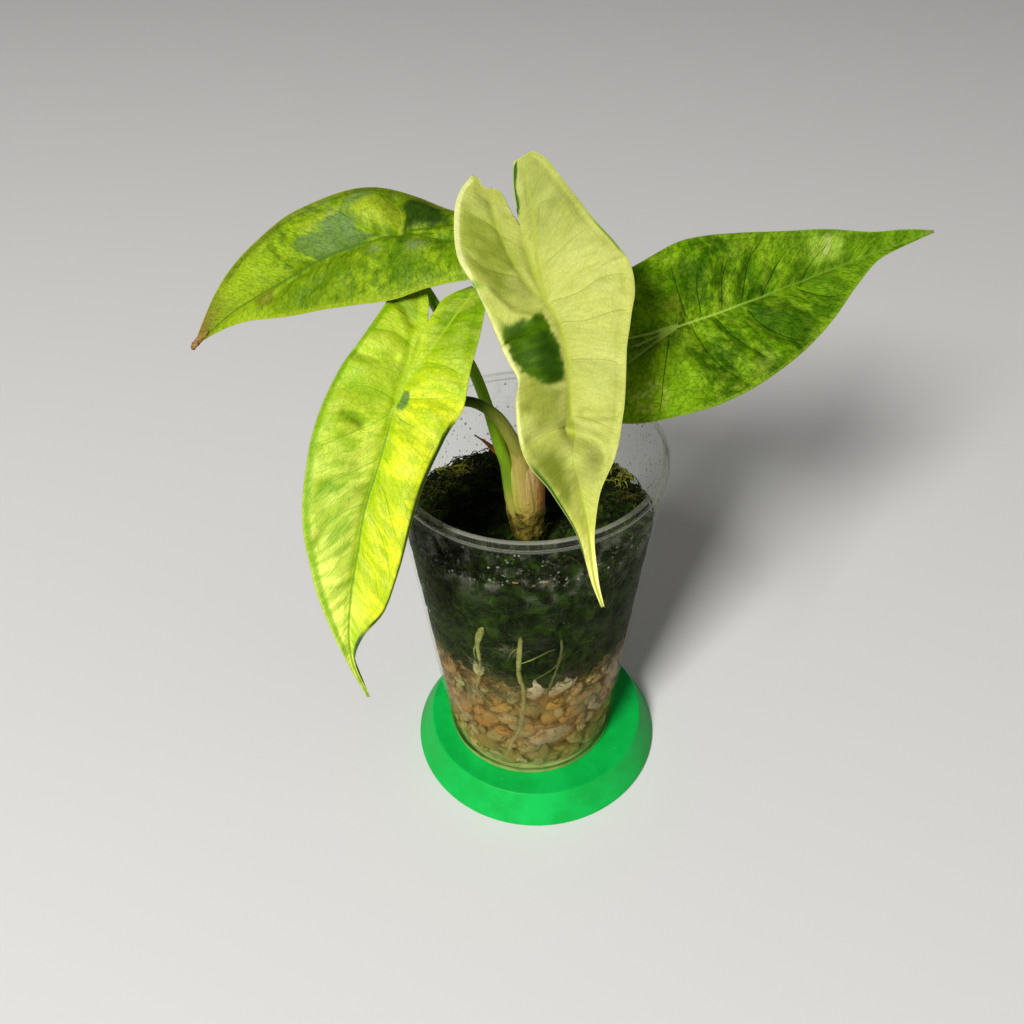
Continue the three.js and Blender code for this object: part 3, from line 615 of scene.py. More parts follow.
# Veins as the photo shows them, in its pixels. Each list starts at the thick end.
VEINS = {
    "leaf_left_back": {
        "ribs": [[(406, 230), (430, 226), (451, 223)], [(406, 232), (430, 237), (454, 240)]],
        "side": [[(376, 235), (358, 224), (339, 212), (321, 209), (300, 214), (284, 224)],
                 [(317, 260), (298, 251), (284, 238), (276, 229)],
                 [(387, 240), (389, 259), (387, 281)],
                 [(350, 253), (352, 274), (358, 285)],
                 [(328, 262), (322, 281), (310, 292)],
                 [(297, 272), (284, 286), (268, 300)],
                 [(292, 268), (276, 258), (262, 250)],
                 [(404, 232), (402, 212), (392, 196)]],
    },
    "leaf_left_front": {
        "ribs": [[(395, 399), (405, 369), (412, 337), (419, 312), (417, 293)],
                 [(402, 391), (417, 368), (443, 331), (471, 294)]],
        "side": [[(395, 400), (379, 391), (360, 386), (341, 390)],
                 [(393, 404), (387, 415), (372, 424), (341, 437), (319, 447)],
                 [(378, 459), (354, 471), (332, 482), (318, 494)],
                 [(366, 504), (347, 510), (327, 525), (317, 542)],
                 [(407, 399), (430, 399), (456, 396)],
                 [(396, 413), (400, 419), (417, 429), (431, 439), (434, 447)],
                 [(424, 363), (431, 363), (448, 368), (463, 376)],
                 [(375, 477), (386, 497), (393, 527), (398, 548)],
                 [(368, 515), (380, 533), (387, 560), (389, 581)],
                 [(360, 552), (374, 575), (378, 599)],
                 [(410, 345), (396, 334), (376, 329)]],
    },
    "leaf_centre": {
        "ribs": [[(545, 295), (535, 247), (532, 209), (523, 168)],
                 [(538, 296), (516, 267), (500, 232), (490, 201)]],
        "side": [[(547, 261), (559, 252), (573, 238), (585, 229)],
                 [(552, 301), (578, 293), (602, 278), (624, 273)],
                 [(561, 322), (585, 321), (616, 311), (627, 310)],
                 [(570, 360), (608, 360), (619, 365)],
                 [(575, 416), (592, 420), (614, 430)],
                 [(506, 238), (492, 226), (471, 213)],
                 [(513, 276), (483, 267), (463, 249)],
                 [(567, 426), (550, 432), (538, 440)],
                 [(537, 222), (541, 203), (552, 199)]],
    },
    "leaf_right": {
        "ribs": [[(678, 326), (655, 332), (628, 338)], [(678, 326), (655, 342), (628, 362)]],
        "side": [[(686, 316), (677, 288), (671, 266)],
                 [(701, 312), (697, 290), (697, 275)],
                 [(742, 297), (749, 260), (760, 243)],
                 [(762, 297), (773, 271), (786, 250)],
                 [(692, 325), (705, 349), (723, 368), (749, 381)],
                 [(749, 310), (770, 327), (796, 338), (816, 340)],
                 [(669, 340), (664, 375), (660, 409)],
                 [(716, 318), (736, 340), (768, 357)],
                 [(722, 306), (722, 280), (728, 258)],
                 [(800, 285), (812, 262), (826, 246)],
                 [(800, 290), (826, 296), (846, 294)]],
    },
}


# Half widths of the midrib and of the lobes' ribs
RIB_HALF_WIDTHS = {
    "leaf_left_back": (0.36, 0.4),
    "leaf_left_front": (0.24, 0.55),
    "leaf_centre": (0.55, 0.5),
    "leaf_right": (0.34, 0.7),
}
SIDE_VEIN_HALF_WIDTH = 0.22


def vein_lines(node):
    """The veins in leaf coordinates: the ribs, and the thinner side veins."""
    blade = BLADES[node]
    tip = blade.mid[-1]
    midrib, lobe_rib = RIB_HALF_WIDTHS[node]
    ribs = [([(x, 0) for x in np.linspace(blade.mid[0] + 6, tip, 30)], midrib, 0.15)]
    for route in VEINS[node]["ribs"]:
        ribs.append((np.vstack([[(0, 0)], fine_route(blade, route)]), lobe_rib, 0.2))
    side = [(fine_route(blade, route), SIDE_VEIN_HALF_WIDTH, 0.12) for route in VEINS[node]["side"]]
    return ribs, side


def fine_route(blade, pixels):
    """A smooth line in leaf coordinates through the places seen at the pixels."""
    return spread(blade.at_pixels(pixels), 16)


FOLD_GAIN = 2.0
RIPPLE = 0.11

# Folds and bulges of the blades. A crease is a pixel route, its height and its reach in millimetres;
# a bulge is a pixel, its sizes along and across the leaf, and its height.
RELIEF = {
    "leaf_left_back": {
        "creases": [([(372, 238), (345, 251), (316, 264), (290, 280)], -0.5, 1.6),
                    ([(326, 213), (340, 208), (356, 212), (374, 228)], 0.5, 1.6),
                    ([(398, 232), (399, 215), (392, 200)], -0.7, 1.8)],
        "bulges": [((380, 214), (5, 5), 1.0), ((422, 247), (3, 3), 0.5), ((330, 238), (7, 4), -0.5),
                   ((300, 232), (5, 5), 0.6), ((344, 274), (5, 4), 0.6), ((402, 268), (5, 5), 0.7)],
    },
    "leaf_left_front": {
        "creases": [([(358, 352), (375, 357), (394, 357)], -0.9, 1.6),
                    ([(345, 412), (355, 417), (364, 424)], -0.8, 1.4),
                    ([(394, 300), (403, 306), (412, 322)], -0.7, 1.6)],
        "bulges": [((386, 342), (4.5, 5), 0.9), ((363, 371), (4.5, 6), 0.9), ((345, 402), (4, 5), 0.7),
                   ((338, 428), (3.5, 5), 0.7), ((335, 462), (5, 6), 0.7), ((345, 497), (5, 5), 0.6),
                   ((440, 375), (5, 5), 0.5), ((430, 415), (4, 5), 0.6), ((410, 450), (6, 5), 0.6),
                   ((398, 500), (7, 5), 0.5)],
    },
    "leaf_centre": {
        "creases": [([(490, 296), (502, 308), (514, 318), (532, 320)], 0.7, 1.3),
                    ([(584, 413), (600, 415), (616, 414)], -0.7, 1.4),
                    ([(572, 432), (588, 437), (599, 446), (603, 458)], -1.5, 2.2),
                    ([(534, 441), (546, 434), (567, 427)], -0.7, 2.0),
                    ([(522, 350), (524, 380), (528, 404)], -0.35, 2.0),
                    ([(486, 318), (494, 342), (503, 368), (510, 392)], 0.5, 1.0),
                    ([(516, 414), (515, 430), (521, 444)], 0.4, 1.0)],
        "bulges": [((581, 459), (4.4, 5.0), 2.4), ((550, 454), (4, 6), 1.2), ((596, 425), (2.5, 5), 0.6),
                   ((590, 380), (6, 5), 0.6), ((595, 300), (4, 6), 0.5), ((575, 340), (4, 5), 0.3),
                   ((550, 400), (5, 5), 0.6), ((560, 215), (5, 5), 0.6), ((575, 255), (4, 5), 0.5)],
    },
    "leaf_right": {
        "creases": [([(700, 330), (716, 348), (742, 372)], -0.5, 1.8),
                    ([(756, 318), (776, 332), (806, 341)], -0.6, 1.8),
                    ([(690, 305), (688, 285), (684, 266)], -0.5, 1.8)],
        "bulges": [((735, 345), (6, 6), 0.5), ((790, 310), (7, 6), 0.5), ((695, 375), (6, 7), 0.6),
                   ((715, 280), (6, 7), 0.3), ((775, 270), (6, 6), 0.4), ((655, 300), (5, 5), 0.5)],
    },
}

# Coloured patches of the blades, as the photo's pixels show their corners
PATCHES = {
    "leaf_left_back": {
        # Painted shade: dark green over the shoulder by the lobes, which bends away from the light
        "shoulder_painted_shade": [(398, 194), (420, 200), (448, 214), (453, 224), (430, 226), (404, 228)],
        "silver": [(293, 244), (309, 235), (321, 230), (326, 216), (339, 212), (352, 221), (358, 229),
                   (374, 235), (347, 248), (317, 260), (298, 251)],
        "bright_bulge": [(356, 208), (376, 198), (396, 203), (402, 216), (398, 228), (380, 228), (362, 218)],
        "pale_between": [(300, 228), (322, 211), (340, 207), (336, 214), (324, 224), (306, 236)],
        "rib_strip": [(398, 234), (427, 237), (449, 237), (452, 252), (420, 250), (400, 244)],
        "brown_left": [(254, 300), (262, 292), (272, 290), (274, 300), (262, 308)],
        "dark_centre": [(388, 240), (404, 238), (416, 262), (408, 284), (390, 282)],
    },
    "leaf_left_front": {
        "pale_gusset": [(399, 392), (411, 352), (420, 318), (430, 322), (416, 362), (406, 388)],
        "grey_spot": [(395, 408), (399, 397), (404, 391), (410, 391), (409, 405), (403, 411)],
        "shaded_top": [(392, 300), (402, 297), (414, 302), (416, 316), (404, 312)],
        "stripe_1": [(326, 540), (332, 528), (346, 518), (352, 521), (344, 533), (332, 543)],
        "stripe_2": [(328, 556), (336, 547), (350, 540), (352, 545), (340, 556)],
        "stripe_3": [(336, 588), (344, 581), (352, 577), (352, 582), (342, 590)],
        # Painted shade in the dimple's hollow
        "dimple_painted_shade": [(342, 412), (352, 411), (366, 420), (362, 426), (350, 422)],
        "low_green": [(316, 480), (330, 478), (344, 484), (336, 494), (318, 498)],
    },
    "leaf_centre": {
        # Painted shade: olive over the right-hand lobe, which turns away from the light
        "lobe_painted_shade": [(462, 205), (478, 190), (492, 204), (508, 236), (522, 262), (536, 292), (530, 306),
                       (508, 306), (488, 288), (468, 262), (458, 234)],
        "green_blotch": [(502, 324), (520, 325), (532, 322), (541, 309), (546, 316), (552, 332), (560, 352),
                         (565, 372), (563, 384), (547, 386), (535, 383), (522, 371), (510, 358), (503, 340)],
        "blotch_dark": [(538, 330), (550, 333), (560, 356), (563, 380), (548, 383), (538, 366)],
        "sinus_green": [(517, 160), (511, 171), (509, 187), (513, 206), (519, 219), (520, 206), (516, 187),
                        (517, 171)],
        "flap_green": [(466, 280), (474, 279), (486, 287), (482, 291), (472, 287)],
        "olive_low": [(526, 372), (548, 388), (562, 390), (560, 420), (540, 428), (524, 408)],
        # Painted shade: darker olive over the lower part of the right-hand half
        "low_left_painted_shade": [(528, 452), (552, 446), (566, 470), (576, 520), (560, 500), (540, 474)],
    },
    "leaf_right": {
        "dark_top_left": [(671, 264), (690, 254), (708, 262), (708, 300), (690, 308), (676, 300)],
        "dark_top_middle": [(730, 280), (742, 252), (754, 256), (750, 284), (742, 298), (728, 302)],
        "dark_low": [(756, 306), (772, 302), (806, 316), (812, 336), (790, 342), (768, 332)],
        "yellow_square": [(660, 302), (678, 296), (684, 310), (664, 316)],
        "pale_tip": [(805, 236), (842, 236), (838, 258), (812, 262)],
        "cream_streak": [(826, 235), (831, 235), (830, 246), (827, 256), (824, 254)],
        # Pale speckles of the leaf's own, with the patch also painted brighter where leaf_centre's shadow
        # falls
        "speckles_and_painted_light": [(630, 400), (640, 384), (662, 380), (672, 392), (664, 410), (640, 414)],
        "pale_low": [(748, 366), (770, 352), (778, 362), (756, 378)],
        "dark_low_left": [(664, 372), (680, 366), (700, 384), (706, 402), (684, 406), (668, 392)],
    },
}

# The photo's colours are lit ones; this share of them is the leaf's own
LEAF_SHARE = 0.7


class Paint:
    """Colours laid over one leaf, at its mesh's points, in leaf coordinates."""

    def __init__(self, blade, patches, x, y, row, from_edge, ground):
        self.blade, self.patches = blade, patches
        self.x, self.y, self.row, self.from_edge = x, y, row, from_edge
        self.root = blade.weave(x, y)
        self.colour = np.ones((len(x), 3)) * srgb(*ground) * LEAF_SHARE

    def wash(self, colour, share):
        share = np.clip(share, 0, 1)[:, None]
        self.colour = self.colour * (1 - share) + srgb(*colour) * LEAF_SHARE * share
        return share[:, 0]

    def patch(self, colour, name, soft=0.6, ragged=0.5, lump=2.0, strength=1.0, seed=1):
        """A named patch with a ragged edge, drawn out along the side veins."""
        depth = depth_inside(self.x, self.y, self.blade.at_pixels(self.patches[name]))
        depth = depth + ragged * grain(self.root, self.y * 0.45, lump, seed)
        return self.wash(colour, strength * step(depth, -soft, soft))

    def spot(self, colour, place, size, strength=1.0, seed=2):
        """A soft spot round a place on the leaf; size is its half width along and across."""
        away = ((self.x - place[0]) / size[0])**2 + ((self.y - place[1]) / size[1])**2
        away = away * (1 + 0.35 * grain(self.x, self.y, 2.5, seed))
        return self.wash(colour, strength * np.exp(-away))

    def strip(self, colour, hand, rows, width, strength=1.0, soft=0.35, inner=-9):
        """A strip along the margin, between two rows of it and two distances from it."""
        side = self.y >= 0 if hand == "right" else self.y < 0
        along = step(self.row, rows[0], rows[0] + 0.5) * step(-self.row, -rows[1], -rows[1] + 0.5)
        if not np.isscalar(width):
            width = smooth_curve(*width, self.row)[..., 0]
        near = step(width - self.from_edge, -soft, soft)
        near = near * step(self.from_edge, inner - soft, inner + soft)
        return self.wash(colour, strength * side * along * near)

    def mottle(self, colour, lump, cover, strength=1.0, soft=0.15, seed=3, drawn=1.0, where=1.0):
        """Random blotches, drawn out along the side veins. cover is the share of the leaf they take."""
        field = grain(0.5 * (self.root + self.x), self.y / drawn, lump, seed, 4)
        level = np.quantile(field, 1 - cover)
        return self.wash(colour, strength * where * step(field, level - soft, level + soft))


def paint_left_front(paint):
    x, y = paint.x, paint.y
    paint.wash((258, 264, 44), step(-y, -3, 6) * 0.85)
    paint.wash((196, 228, 16), step(-y, -2, 4) * step(-x, 2, 12) * 0.8)
    # Painted light: the right-hand half (y above zero) is painted brighter by the lobes. The pale washes
    # over it and over the lower blade are painted sheen.
    paint.wash((234, 254, 70), step(y, 0, 4) * step(x, -24, -8) * step(-x, -26, -10) * 0.85)
    paint.wash((284, 294, 130), step(x, 6, 28) * step(y, -1, 4) * 0.9)
    paint.wash((290, 302, 130), step(x, 48, 64) * step(y, -9, 4) * 0.85)
    paint.wash((178, 222, 26), step(x, 60, 72) * step(-y, 0, 2) * 0.8)
    paint.wash((116, 162, 4), step(-x, 10, 26) * step(-y, 0, 5) * 0.85)
    paint.mottle((140, 190, 6), 7, 0.36, 0.42, 0.5, seed=11, drawn=2, where=step(y, -3, 5))
    paint.mottle((226, 238, 90), 2.5, 0.35, 0.35, 0.4, seed=12, drawn=2.5)
    paint.mottle((160, 206, 8), 1.8, 0.38, 0.5, 0.3, seed=13, drawn=2.8)
    paint.strip((126, 182, 6), "right", (1.5, 11), 2.4, 0.75, 0.5, 0.5)
    paint.strip((204, 224, 60), "right", (1.5, 12), 0.5, 0.7, 0.15)
    paint.patch((206, 232, 50), "pale_gusset", 1.0, 0.2, strength=0.9)
    for name in ("stripe_1", "stripe_2", "stripe_3", "low_green"):
        paint.patch((136, 186, 4), name, 1.0, 0.6, strength=0.7, seed=14)
    # Painted shade in the dimple's hollow.
    paint.patch((120, 168, 6), "dimple_painted_shade", 1.2, 0.4, strength=0.6)
    paint.patch((110, 150, 10), "shaded_top", 1.5, 0.4, strength=0.6)
    paint.patch((108, 150, 66), "grey_spot", 0.3, 0.15, strength=0.95)
    # Painted shade: the rolled-down strip of the left-hand margin is painted dark green, and turns
    # grey-green near the tip.
    rolled_strip_width = ([4, 5, 6.5, 9, 10.2, 11.4], [0.4, 1.5, 1.2, 0.7, 1.6, 0.6])
    paint.strip((16, 62, 8), "left", (4.2, 9.9), rolled_strip_width, 0.95, 0.25)
    paint.strip((70, 110, 70), "left", (9.6, 11.4), rolled_strip_width, 0.9, 0.25)
    paint.wash((206, 200, 90), step(x, 86, 90) * 0.6)


def paint_centre(paint):
    x, y = paint.x, paint.y
    paint.wash((222, 226, 124), step(-y, 0, 6) * 0.35)
    # Painted shade: the left-hand lobe (y below zero) is painted darker.
    paint.wash((170, 180, 88), step(-x, 4, 24) * step(-y, 0, 5) * 0.85)
    # Painted shade: olive over the right-hand lobe, which turns away from the light.
    paint.patch((150, 166, 50), "lobe_painted_shade", 3.0, 1.0, strength=0.9)
    paint.mottle((228, 232, 140), 4, 0.35, 0.3, 0.5, seed=21, drawn=1.6)
    paint.mottle((190, 200, 84), 2.6, 0.4, 0.3, 0.4, seed=24, drawn=2.2)
    paint.patch((146, 156, 50), "olive_low", 2.5, 1.0, strength=0.85)
    # Painted shade: darker olive over the lower part of the right-hand half.
    paint.patch((122, 134, 34), "low_left_painted_shade", 2.5, 1.0, strength=0.95)
    green = paint.patch((76, 114, 0), "green_blotch", 0.7, 0.7, 1.4, seed=22)
    paint.patch((34, 68, 0), "blotch_dark", 1.8, 0.6, 2.4, strength=0.8, seed=25)
    paint.mottle((32, 64, 2), 1.3, 0.45, 0.5, 0.5, seed=23, drawn=3, where=green)
    paint.patch((30, 100, 16), "sinus_green", 0.2, 0.1, strength=0.95)
    paint.wash((236, 240, 90), step(x, 48, 72) * 0.7)
    paint.wash((298, 296, 172), step(x, 60, 76) * 0.95)
    # Painted highlight: a pale strip along the rolled-up right-hand margin, where it catches the light.
    paint.strip((250, 252, 168), "right", (0, 8), 1.5, 0.85, 0.4)
    paint.patch((120, 170, 30), "flap_green", 0.8, 0.5, strength=0.8)
    paint.strip((34, 100, 14), "right", (8.0, 11.2), 1.0, 0.95, 0.2)
    paint.strip((60, 120, 20), "left", (3.0, 4.6), 0.7, 0.8, 0.2)
    paint.strip((218, 224, 110), "left", (0, 9), 2.0, 0.5, 0.3, 0.6)


def paint_left_back(paint):
    x, y = paint.x, paint.y
    paint.mottle((104, 150, 4), 6, 0.45, 0.55, 0.5, seed=31, drawn=1.4, where=step(-y, -2, 3))
    paint.mottle((176, 208, 30), 2.6, 0.42, 0.6, 0.35, seed=32, drawn=1.4)
    paint.mottle((76, 114, 4), 1.5, 0.32, 0.5, 0.3, seed=34, drawn=1.3)
    paint.wash((96, 134, 4), step(-y, 2, 6) * step(x, 5, 18) * step(-x, -58, -40) * 0.35)
    # Painted shade: dark green over the shoulder by the lobes, which bends away from the light.
    paint.patch((38, 70, 4), "shoulder_painted_shade", 2.2, 1.8, strength=0.95)
    paint.patch((168, 190, 40), "pale_between", 0.8, 0.6, strength=0.6)
    paint.patch((114, 148, 60), "silver", 0.3, 0.5, 1.3, strength=0.9, seed=33)
    silvery = step(y, 0, 2) * step(x, 2, 8) * step(-x, -26, -18)
    paint.mottle((140, 166, 110), 2.4, 0.4, 0.3, 0.4, seed=35, where=silvery)
    paint.patch((188, 210, 42), "bright_bulge", 1.3, 0.9, strength=0.85)
    paint.patch((60, 104, 6), "rib_strip", 1.2, 0.8, strength=0.45, seed=36)
    paint.patch((66, 116, 4), "dark_centre", 1.8, 1.2, strength=0.6)
    paint.spot((150, 172, 92), (-8.5, -4.5), (2.6, 1.8), 0.9)
    paint.spot((140, 164, 84), (5, -3.5), (2.0, 1.5), 0.8)
    paint.wash((180, 210, 28), step(x, 34, 56) * 0.6)
    paint.strip((178, 200, 30), "left", (2, 9), 1.8, 0.7, 0.8)
    paint.strip((112, 130, 20), "right", (2, 9), 2.4, 0.75, 0.9)
    paint.patch((120, 108, 24), "brown_left", 1.0, 1.0, strength=0.6)
    paint.wash((124, 118, 40), step(x, 54, 70) * step(y, -2, 3) * 0.6)
    paint.wash((148, 116, 50), step(x + 0.8 * y, 69, 77) * 0.9)


def paint_right(paint):
    x, y = paint.x, paint.y
    paint.mottle((158, 198, 26), 6.5, 0.5, 0.7, 0.8, seed=41, drawn=1.4)
    paint.mottle((50, 94, 4), 4.5, 0.38, 0.7, 0.45, seed=42, drawn=1.5)
    paint.mottle((172, 204, 48), 1.7, 0.32, 0.4, 0.35, seed=44, drawn=1.4)
    paint.mottle((40, 84, 2), 1.1, 0.36, 0.5, 0.3, seed=45, drawn=1.8)
    for name in ("dark_top_left", "dark_top_middle", "dark_low", "dark_low_left"):
        paint.patch((48, 92, 0), name, 2.6, 2.2, 2.2, strength=0.65, seed=46)
    paint.patch((150, 170, 36), "yellow_square", 1.2, 0.8, strength=0.75)
    paint.patch((196, 226, 80), "pale_tip", 1.8, 1.2, strength=0.85)
    paint.patch((150, 180, 56), "pale_low", 1.6, 1.2, strength=0.6)
    # Painted light: both halves by the lobes are painted brighter where leaf_centre's shadow falls on them.
    paint.wash((120, 172, 6), step(-x, -4, 8) * step(-y, 0, 6) * 0.5)
    paint.wash((156, 206, 20), step(-x, -2, 12) * step(y, 0, 6) * 0.7)
    # The pale speckles are the leaf's own. They and their patch are also painted brighter, as painted light
    # where leaf_centre's shadow falls.
    speckles_and_painted_light = paint.patch((176, 224, 30), "speckles_and_painted_light", 1.5, 1.0, strength=0.8)
    paint.mottle((240, 256, 110), 1.0, 0.4, 0.6, 0.25, seed=43, drawn=1.4, where=speckles_and_painted_light)
    paint.patch((214, 218, 130), "cream_streak", 0.4, 0.25, strength=0.85)
    paint.strip((150, 186, 50), "right", (1, 12), 0.9, 0.6, 0.3)
    paint.strip((130, 170, 40), "left", (1, 12), 0.7, 0.5, 0.3)
    paint.wash((124, 178, 24), step(x, 30, 50) * 0.35)
    paint.wash((170, 140, 110), step(x, 82, 86) * 0.8)


# Colours, relief and gloss of each leaf. rib_fade says where the midrib turns to its tip's colour.
LEAF_LOOKS = {
    "leaf_left_back": dict(
        slot="leaf_mottled", paint=paint_left_back, ground=(140, 174, 8), rib=(78, 116, 6),
        rib_tip=(84, 120, 8), side=(70, 110, 6), edge=(190, 212, 44), under=(120, 150, 50),
        side_strength=0.55, groove=0.6, swell=1.1, minor=0.32, net=0.42, fleck=0.24, rib_fade=(8, 40),
        shine=0.14, collar=1.6, collar_strength=0.2, gloss=0.42),
    "leaf_left_front": dict(
        slot="leaf_lime", paint=paint_left_front, ground=(190, 222, 12), rib=(182, 216, 24),
        rib_tip=(112, 160, 6), side=(110, 164, 4), edge=(200, 224, 60), under=(24, 88, 18),
        side_strength=0.6, groove=0.55, swell=1.0, minor=0.34, net=0.34, fleck=0.06, rib_fade=(1, 9),
        shine=0.22, collar=2.6, collar_strength=0.2, gloss=0.4),
    "leaf_centre": dict(
        slot="leaf_cream", paint=paint_centre, ground=(203, 209, 99), rib=(180, 194, 66),
        rib_tip=(176, 190, 60), side=(150, 164, 50), edge=(236, 240, 136), under=(60, 120, 20),
        side_strength=0.5, groove=0.5, swell=0.8, minor=0.2, net=0.18, fleck=0.04, rib_fade=(8, 40),
        shine=0.11, collar=2.9, collar_strength=0.16, gloss=0.5),
    "leaf_right": dict(
        slot="leaf_green", paint=paint_right, ground=(110, 160, 8), rib=(178, 214, 84),
        rib_tip=(120, 160, 44), side=(36, 76, 2), edge=(160, 190, 50), under=(100, 140, 50),
        side_strength=0.9, groove=0.55, swell=1.0, minor=0.36, net=0.44, fleck=0.26, rib_fade=(8, 40),
        shine=0.05, collar=2.2, collar_strength=0.2, gloss=0.5),
}

BLADE_ROW_STEPS = 22
BLADE_COLUMNS = 44
LEAF_THICKNESS = 0.5
LEAF_EDGE_THICKNESS = 0.14
UNDER_RIB = 0.8
UNDER_SIDE_VEIN = 0.25
UNDERSIDE_LAYER = 9.0
FAR_SHARE = 9
MINOR_VEIN_STEP = 2.6


def leaf_material(name, looks, tip):
    s = Shader(name)
    place = s.field("place", "Vector")
    weave = s.field("weave", "Vector")
    tint = s.field("tint", "Color")
    own = {key: srgb(*looks[key]) * LEAF_SHARE for key in ("rib", "rib_tip", "edge", "under")}
    vein = s.mix(1.0, tint, np.minimum(srgb(*looks["side"]) / srgb(*looks["ground"]), 1), "MULTIPLY")

    threads = s.noise(s.stretch(weave, (1, 0.16, 1)), 0.75, 3, 0.6)
    flecks = s.noise(place, 1.3, 4, 0.62)
    pores = s.noise(place, 0.5, 3, 0.6)
    light = s.plus(s.band(threads, 0.3, 0.7, 0.94, 1.06), s.band(pores, 0.3, 0.7, -0.07, 0.07))
    light = s.minus(light, s.band(flecks, 0.47, 0.64, 0, looks["fleck"]))
    colour = s.mix(1.0, tint, light, "MULTIPLY")

    minor = minor_veins(s, place, weave, looks["minor"])
    colour = s.mix(minor, colour, vein)
    bent = s.add("ShaderNodeVectorMath", {0: weave, 1: s.times(s.noise(place, 1.6, 2), 1.8)},
                 operation="ADD").outputs[0]
    net = s.band(s.cells(s.stretch(bent, (1, 0.6, 1)), 1.25), 0.0, 0.1, looks["net"], 0)
    colour = s.mix(net, colour, vein)

    side = s.times(s.band(s.size_of(s.field("side_share")), 0.4, 1.3, 1, 0),
                   s.band(s.field("side_away"), 0.9, 1.7, looks["side_strength"], 0))
    colour = s.mix(side, colour, vein)
    along = s.part(place, 0)
    rib = s.times(s.band(s.size_of(s.field("rib_share")), 0.5, 1.5, 1, 0),
                  s.band(s.field("rib_away"), 1.4, 2.2, 0.8, 0))
    colour = s.mix(rib, colour, s.mix(s.band(along, *looks["rib_fade"]), own["rib"], own["rib_tip"]))

    edge_away = s.field("edge_away")
    off_collar = s.size_of(s.minus(edge_away, looks["collar"]))
    not_tip = s.band(along, tip - 32, tip - 14, 1, 0)
    collar = s.times(s.band(off_collar, 0.05, 0.4, looks["collar_strength"], 0), not_tip)
    colour = s.mix(collar, colour, vein)
    colour = s.mix(s.band(edge_away, 0.1, 0.35, 0.6, 0.0), colour, own["edge"])
    below = s.mix(s.band(pores, 0.3, 0.7, 0.6, 0.9), tint, own["under"])
    colour = s.mix(s.field("under"), colour, below)

    roughness = s.band(pores, 0.25, 0.75, looks["gloss"], looks["gloss"] + 0.16)
    relief = s.plus(s.times(net, -1.2), s.plus(threads, s.times(pores, 0.8)))
    relief = s.minus(relief, s.times(minor, 1.5))
    return s.surface(colour, roughness, s.bump(relief, 0.1), 1.42, looks["shine"])


def minor_veins(s, place, weave, strength):
    """Thin, broken veins between the side veins."""
    crumbled = s.band(s.noise(place, 5, 2), 0.3, 0.6)
    wander = s.times(s.noise(place, 6, 2), 1.4)
    count = s.times(s.part(weave, 0), 1 / MINOR_VEIN_STEP)
    wave = s.minus(s.calc("FRACT", s.plus(count, wander)), 0.5)
    return s.times(s.band(s.size_of(wave), 0.0, 0.06, strength, 0), crumbled)


def blade_sheet(blade):
    """The blade's upper side: leaf coordinates, lift, distance from the margin and row of each point,
    and the faces. The halves share their points along the midrib."""
    rows = int(BLADE_ROW_STEPS * FINE) * blade.rows() + 1
    columns = int(BLADE_COLUMNS * FINE)
    t = np.linspace(0, blade.rows(), rows)[:, None] * np.ones(columns + 1)
    part = np.ones((rows, 1)) * np.linspace(0, 1, columns + 1)
    index, sheets, quads = {}, [], []
    for number, hand in enumerate(HANDS):
        x, y, lift, from_edge = blade.plan(hand, t, part)
        index[hand] = np.arange(x.size).reshape(x.shape) + number * x.size
        sheets.append(np.stack([x, y, lift, from_edge, t], -1).reshape(-1, 5))
    on_midrib = t[:, 0] >= Blade.LOBE_ROWS - 1e-9
    index["left"][on_midrib, 0] = index["right"][on_midrib, 0]
    for hand in HANDS:
        i = index[hand]
        a, b, c, d = i[:-1, :-1], i[1:, :-1], i[1:, 1:], i[:-1, 1:]
        order = (a, d, c, b) if hand == "right" else (a, b, c, d)
        quads.append(np.stack([q.ravel() for q in order], -1))
    used, quads = np.unique(np.vstack(quads), return_inverse=True)
    return np.vstack(sheets)[used].T, quads.reshape(-1, 4)


